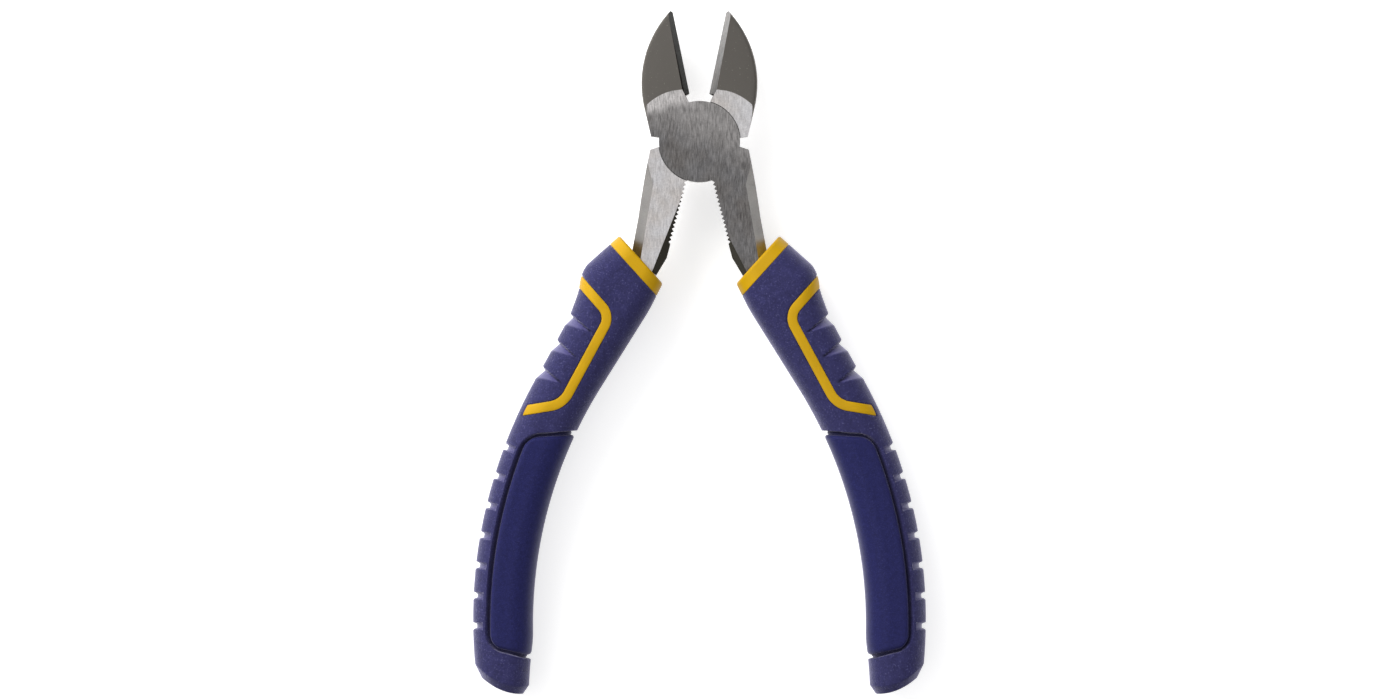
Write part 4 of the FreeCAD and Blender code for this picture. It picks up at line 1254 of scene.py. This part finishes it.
    def scallop_drop(self, touch, grip, run, out, wall):
        """The depth of the scallops at a place, and how near it is to a wall's foot."""
        edge = grip.core(run)[1] + grip.corner
        past = min((out - touch.scallop_point) / (edge - touch.scallop_point), 1.0)
        if past <= 0.0:
            return 0.0, 0.0
        for number in range(touch.scallop_count):
            start = touch.scallop_first - number * touch.scallop_pitch
            high = start - touch.scallop_slant * (1.0 - past) + wall / 2
            low = start - touch.scallop_slant \
                - (touch.scallop_length - touch.scallop_slant) * past
            if low < run < high:
                ramp = min((run - low) / (high - low), 1.0)
                depth = touch.scallop_depth * eased(past / self.SCALLOP_TIP)
                risen = eased((high - run) / wall)
                from_foot = abs(high - wall / 2 - run) / wall
                return depth * ramp * risen, eased(self.FOOT_REACH - from_foot)
        return 0.0, 0.0


class PliersFingerPads(bpy.types.Operator):
    """Mould the finger pads that sit in the recesses of the shells"""
    bl_idname = "pliers.finger_pads"
    bl_label = "Finger Pads"

    columns: count("Columns", "Faces across the pad, inside its rims", 131)
    rings: count("Rings", "Faces along the pad, inside its rims", 171)

    # Where the rows of a rim lie, as shares of its width
    RIM_SHARES = (0.0, 0.03, 0.1, 0.22, 0.38, 0.57, 0.78, 1.0)

    def execute(self, context):
        scene = context.scene
        grip = Grip(scene)
        pad = scene.pliers_pad
        relief = scene.pliers_grip.relief
        border = pad.outward - pad.groove
        corner = pad.corner - pad.groove
        rim = [share * pad.rim for share in self.RIM_SHARES]
        rim_faces = len(rim) - 1
        columns = self.columns + 2 * rim_faces
        rings = self.rings + 2 * rim_faces

        def spread(index, last, whole):
            """Distance from the first border at a row, close together near both borders."""
            if index <= rim_faces:
                return rim[index]
            if index >= last - rim_faces:
                return whole - rim[last - index]
            part = (index - rim_faces) / (last - 2 * rim_faces)
            return pad.rim + (whole - 2 * pad.rim) * part

        def surface(across, along, sunk):
            run_low = grip.run_on_line(grip.pad_low, -pad.low_slope, border, -pad.groove)
            run_top = grip.run_on_line(grip.pad_top, pad.top_slope, border, pad.groove)
            tall = run_top - run_low
            height = spread(round(along * rings), rings, tall)
            ends = min(height, tall - height)
            set_back = rounding(corner, ends)
            start = grip.way_round(run_low + height, border - set_back)
            wide = 4 * grip.quarter - 2 * start
            travelled = spread(round(across * columns), columns, wide)
            section = grip.section((start + travelled) / (4 * grip.quarter))
            near_side = min(travelled, wide - travelled)
            fall = rounding(pad.rim, corner_distance(near_side + set_back, ends, corner))
            run = run_low + height
            for _ in range(SETTLING):
                out, up = grip.form(run, section, sunk or fall)
                low = grip.run_on_line(grip.pad_low, -pad.low_slope, out, -pad.groove)
                top = grip.run_on_line(grip.pad_top, pad.top_slope, out, pad.groove)
                run = low + (top - low) * height / tall
            return grip.place(run, out, up)

        bm = mapped_grid(columns, rings, lambda across, along: surface(across, along, 0.0))
        sheet = mapped_grid(columns, rings, lambda across, along: surface(across, along, relief))
        carrier = bpy.data.meshes.new("pad_underside")
        sheet.to_mesh(carrier)
        sheet.free()
        bm.from_mesh(carrier)
        bpy.data.meshes.remove(carrier)
        bmesh.ops.bridge_loops(bm, edges=[edge for edge in bm.edges if edge.is_boundary])
        bmesh.ops.recalc_face_normals(bm, faces=bm.faces)
        rubber = soft_plastic("finger_pad_rubber", scene.pliers_finish.pad_blue,
                              grain_size=4200.0, grain_depth=0.15, rough=0.46, glint=0.1,
                              sheen=0.33)
        for_both_hands(bm, "pad", "finger_pad", [rubber])
        return {"FINISHED"}


class PliersCollars(bpy.types.Operator):
    """Mould the hard collars round the arms"""
    bl_idname = "pliers.collars"
    bl_label = "Collars"

    columns: count("Columns", "Faces round the collar", 160)

    FOOT_STEPS = 4
    SIDE_STEPS = 10
    ROUND_STEPS = 6
    TOP_STEPS = 6
    FOOT_BREAK = 0.12 * MM

    def execute(self, context):
        scene = context.scene
        grip = Grip(scene)
        sizes = scene.pliers_grip
        edge = sizes.collar_round
        foot = sizes.collar_height - self.FOOT_BREAK

        def line(below):
            return lambda out: grip.run_on_collar(out, below)

        rows = end_rows(grip.corner, self.FOOT_BREAK, line(sizes.collar_height), self.FOOT_STEPS)
        for step in range(self.SIDE_STEPS):
            rows.append((line(foot - (foot - edge) * step / self.SIDE_STEPS), 0.0, 1.0))
        for step in range(self.ROUND_STEPS + 1):
            angle = math.pi / 2 * step / self.ROUND_STEPS
            rows.append((line(edge * (1 - math.sin(angle))), edge * (1 - math.cos(angle)), 1.0))
        rows += list(reversed(end_rows(grip.corner, edge, line(0.0), self.TOP_STEPS)))[1:]
        bm = closed_form(grip, self.columns, rows)
        materials = [hard_plastic("collar_plastic", scene.pliers_finish.yellow)]
        for_both_hands(bm, "collar", "inner_sleeve", materials)
        return {"FINISHED"}


class PliersRibs(bpy.types.Operator):
    """Mould the thin ribs of the hard plastic that show through the shells"""
    bl_idname = "pliers.ribs"
    bl_label = "Ribs"

    columns: count("Columns", "Faces round the rib", 20)
    rings: count("Rings", "Faces along the rib on either face of the grip", 170)

    # Shares of half a rib: the grip's flat side, and up to the end of its rounded corner
    SIDE_SHARE = 0.07
    ARC_SHARE = 0.25

    # How full the rib's dome is: a lower power is fuller
    DOME_POWER = 0.6

    # How far past the rib's start and end a search for its travel goes, and its halvings
    BEFORE_START = -4.0 * MM
    AFTER_START = 12.0 * MM
    BEFORE_END = 8.0 * MM
    HALVINGS = 40

    def execute(self, context):
        scene = context.scene
        grip = Grip(scene)
        sizes = scene.pliers_rib
        line = RibLine(scene)
        whole = sum(line.lengths)

        def on_line(travel, offset):
            spot, direction = line.at(travel)
            return spot + Vector((direction.y, -direction.x)) * offset

        def travel_where(offset, target, beyond, within):
            """The travel at which a line beside the rib's middle meets a reach outward, from
            one travel beyond that reach and one within it."""
            for _ in range(self.HALVINGS):
                middle = (beyond + within) / 2
                run, out = grip.reading(on_line(middle, offset).to_3d())
                if out > target(run):
                    beyond = middle
                else:
                    within = middle
            return (beyond + within) / 2

        def start(offset, reach):
            return travel_where(offset, reach, self.BEFORE_START, self.AFTER_START)

        def where(share_around, share_along):
            angle = 2 * math.pi * share_around
            offset = sizes.width / 2 * math.cos(angle)
            dome = math.copysign(abs(math.sin(angle)) ** self.DOME_POWER, math.sin(angle))
            lift = dome * (2 * sizes.crown if dome > 0 else sizes.thickness) - sizes.crown
            half = 1.0 if share_along > 0.5 else -1.0
            part = abs(2 * share_along - 1.0)
            if part < self.ARC_SHARE:
                turned = max((part - self.SIDE_SHARE) / (self.ARC_SHARE - self.SIDE_SHARE), 0.0)
                lean = math.pi / 2 * (1.0 - turned)
                travel = start(offset, lambda run: grip.core(run)[1]
                               + grip.corner * math.sin(lean) - TINY)
                run, out = grip.reading(on_line(travel, offset).to_3d())
                up = grip.core(run)[2] * min(part / self.SIDE_SHARE, 1.0) \
                    + grip.corner * math.cos(lean)
            else:
                first = start(offset, lambda run: grip.core(run)[1])
                last = travel_where(offset, lambda run: sizes.end_out, whole,
                                    whole - self.BEFORE_END)
                travel = first + (last - first) * (part - self.ARC_SHARE) / (1 - self.ARC_SHARE)
                run, out = grip.reading(on_line(travel, offset).to_3d())
                up, lean = grip.rise_at(run, out)
                lean = lean if out > 0 else -lean
            out += lift * math.sin(lean)
            up += lift * abs(math.cos(lean))
            return grip.place(run, out, up * half)

        bm = mapped_grid(self.columns, 2 * self.rings, where)
        close_tube(bm)
        materials = [hard_plastic("rib_plastic", scene.pliers_finish.yellow)]
        for_both_hands(bm, "rib", "inner_sleeve", materials)
        return {"FINISHED"}


class PliersStageSetting(bpy.types.Operator):
    """Set the pale floor, the soft lights and the camera"""
    bl_idname = "pliers.stage"
    bl_label = "Stage"

    WHITE = (1.0, 1.0, 1.0)
    FLOOR_HALF = 3.0
    FLOOR_GAP = 0.1 * MM

    # How high a direction points where the walls begin to brighten, and at the full ceiling
    WALL_TOP = 0.3
    CEILING_FOOT = 0.95

    def execute(self, context):
        scene = context.scene
        stage = scene.pliers_stage
        scene.view_settings.view_transform = "Standard"
        middle = sum((Vector(corner) for corner in CAD_BOX), Vector()) / 2
        self.floor(stage)
        self.walls(scene, stage)
        self.softbox("key_softbox", stage.key, stage.key_size, stage.key_place, middle)
        self.softbox("fill_softbox", stage.fill, stage.fill_size, stage.fill_place, middle)

        camera = bpy.data.cameras.new("camera")
        camera.lens = stage.lens
        camera.sensor_width = 36.0
        camera.clip_end = 20.0
        viewer = bpy.data.objects.new("camera", camera)
        distance = stage.view_width * stage.lens / camera.sensor_width
        viewer.location = (stage.view_across, stage.view_up, middle.z + distance)
        scene.collection.objects.link(viewer)
        scene.camera = viewer
        return {"FINISHED"}

    def floor(self, stage):
        """A pale floor just under the tool, lifted towards white where it is seen."""
        bm = bmesh.new()
        bmesh.ops.create_grid(bm, x_segments=8, y_segments=8, size=self.FLOOR_HALF)
        bmesh.ops.translate(bm, verts=bm.verts, vec=(0.0, 0.0, -self.FLOOR_GAP))
        material, nodes, shader, place = new_material("studio_floor", Roughness=0.9)
        base = nodes.mix(nodes.noise(place, 14.0, 3.0), shaded(self.WHITE, 0.80),
                         shaded(self.WHITE, 0.84))
        seen = nodes.add("ShaderNodeLightPath").outputs
        lit = nodes.math("MAXIMUM", seen["Is Camera Ray"], seen["Is Glossy Ray"])
        lit = nodes.math("MAXIMUM", lit, seen["Is Transmission Ray"])
        nodes.feed(shader, Base_Color=base, Emission_Color=shaded(self.WHITE, 1.0),
                   Emission_Strength=nodes.math("MULTIPLY", lit, stage.floor_glow))
        finished(bm, "studio_floor", [material])

    def walls(self, scene, stage):
        """Studio walls that are brighter on the left and above, and white where they are seen."""
        world = bpy.data.worlds.new("studio_walls")
        scene.world = world
        world.use_nodes = True
        world.node_tree.nodes.clear()
        nodes = Nodes(world.node_tree)
        across, _, height = nodes.parts(nodes.add("ShaderNodeTexCoord").outputs["Generated"])
        sideways = nodes.ramp(across, -1.0, 1.0, stage.left_wall, stage.right_wall)
        upward = nodes.ramp(height, self.WALL_TOP, self.CEILING_FOOT, stage.walls, stage.ceiling)
        strength = nodes.math("MULTIPLY", nodes.math("MULTIPLY", sideways, upward), stage.sky)
        seen = nodes.add("ShaderNodeLightPath").outputs["Is Camera Ray"]
        background = nodes.feed(nodes.add("ShaderNodeBackground"), Color=shaded(self.WHITE, 1.0),
                                Strength=nodes.mix(seen, strength, 1.0, kind="FLOAT"))
        nodes.feed(nodes.add("ShaderNodeOutputWorld"), Surface=background.outputs[0])

    def softbox(self, name, power, size, place, aim):
        """A square lamp that the camera and glossy surfaces don't see."""
        lamp = bpy.data.lights.new(name, "AREA")
        lamp.shape = "SQUARE"
        lamp.size = size
        lamp.energy = power
        holder = bpy.data.objects.new(name, lamp)
        holder.location = place
        holder.visible_camera = False
        holder.visible_glossy = False
        holder.rotation_euler = (aim - place).to_track_quat("-Z", "Y").to_euler()
        bpy.context.scene.collection.objects.link(holder)


class PliersPanel(bpy.types.Panel):
    """Steps and sizes of the pliers"""
    bl_idname = "VIEW3D_PT_pliers"
    bl_label = "Diagonal Cutting Pliers"
    bl_space_type = "VIEW_3D"
    bl_region_type = "UI"
    bl_category = "Pliers"

    def draw(self, context):
        for operator in STEPS:
            self.layout.operator(operator.bl_idname)
        for name, sizes in SIZE_GROUPS.items():
            box = self.layout.box()
            box.label(text=sizes.__doc__)
            for entry in sizes.__annotations__:
                box.prop(getattr(context.scene, name), entry)


STEPS = (PliersLevers, PliersRivet, PliersGripShells, PliersFingerPads, PliersCollars,
         PliersRibs, PliersStageSetting)
CLASSES = tuple(SIZE_GROUPS.values()) + STEPS + (PliersPanel,)


def register():
    for entry in CLASSES:
        bpy.utils.register_class(entry)
    for name, sizes in SIZE_GROUPS.items():
        setattr(bpy.types.Scene, name, bpy.props.PointerProperty(type=sizes))


def unregister():
    for name in SIZE_GROUPS:
        delattr(bpy.types.Scene, name)
    for entry in reversed(CLASSES):
        bpy.utils.unregister_class(entry)


def main():
    register()
    for step in STEPS:
        group_name, operator = step.bl_idname.split(".")
        getattr(getattr(bpy.ops, group_name), operator)()


if __name__ == "__main__":
    main()
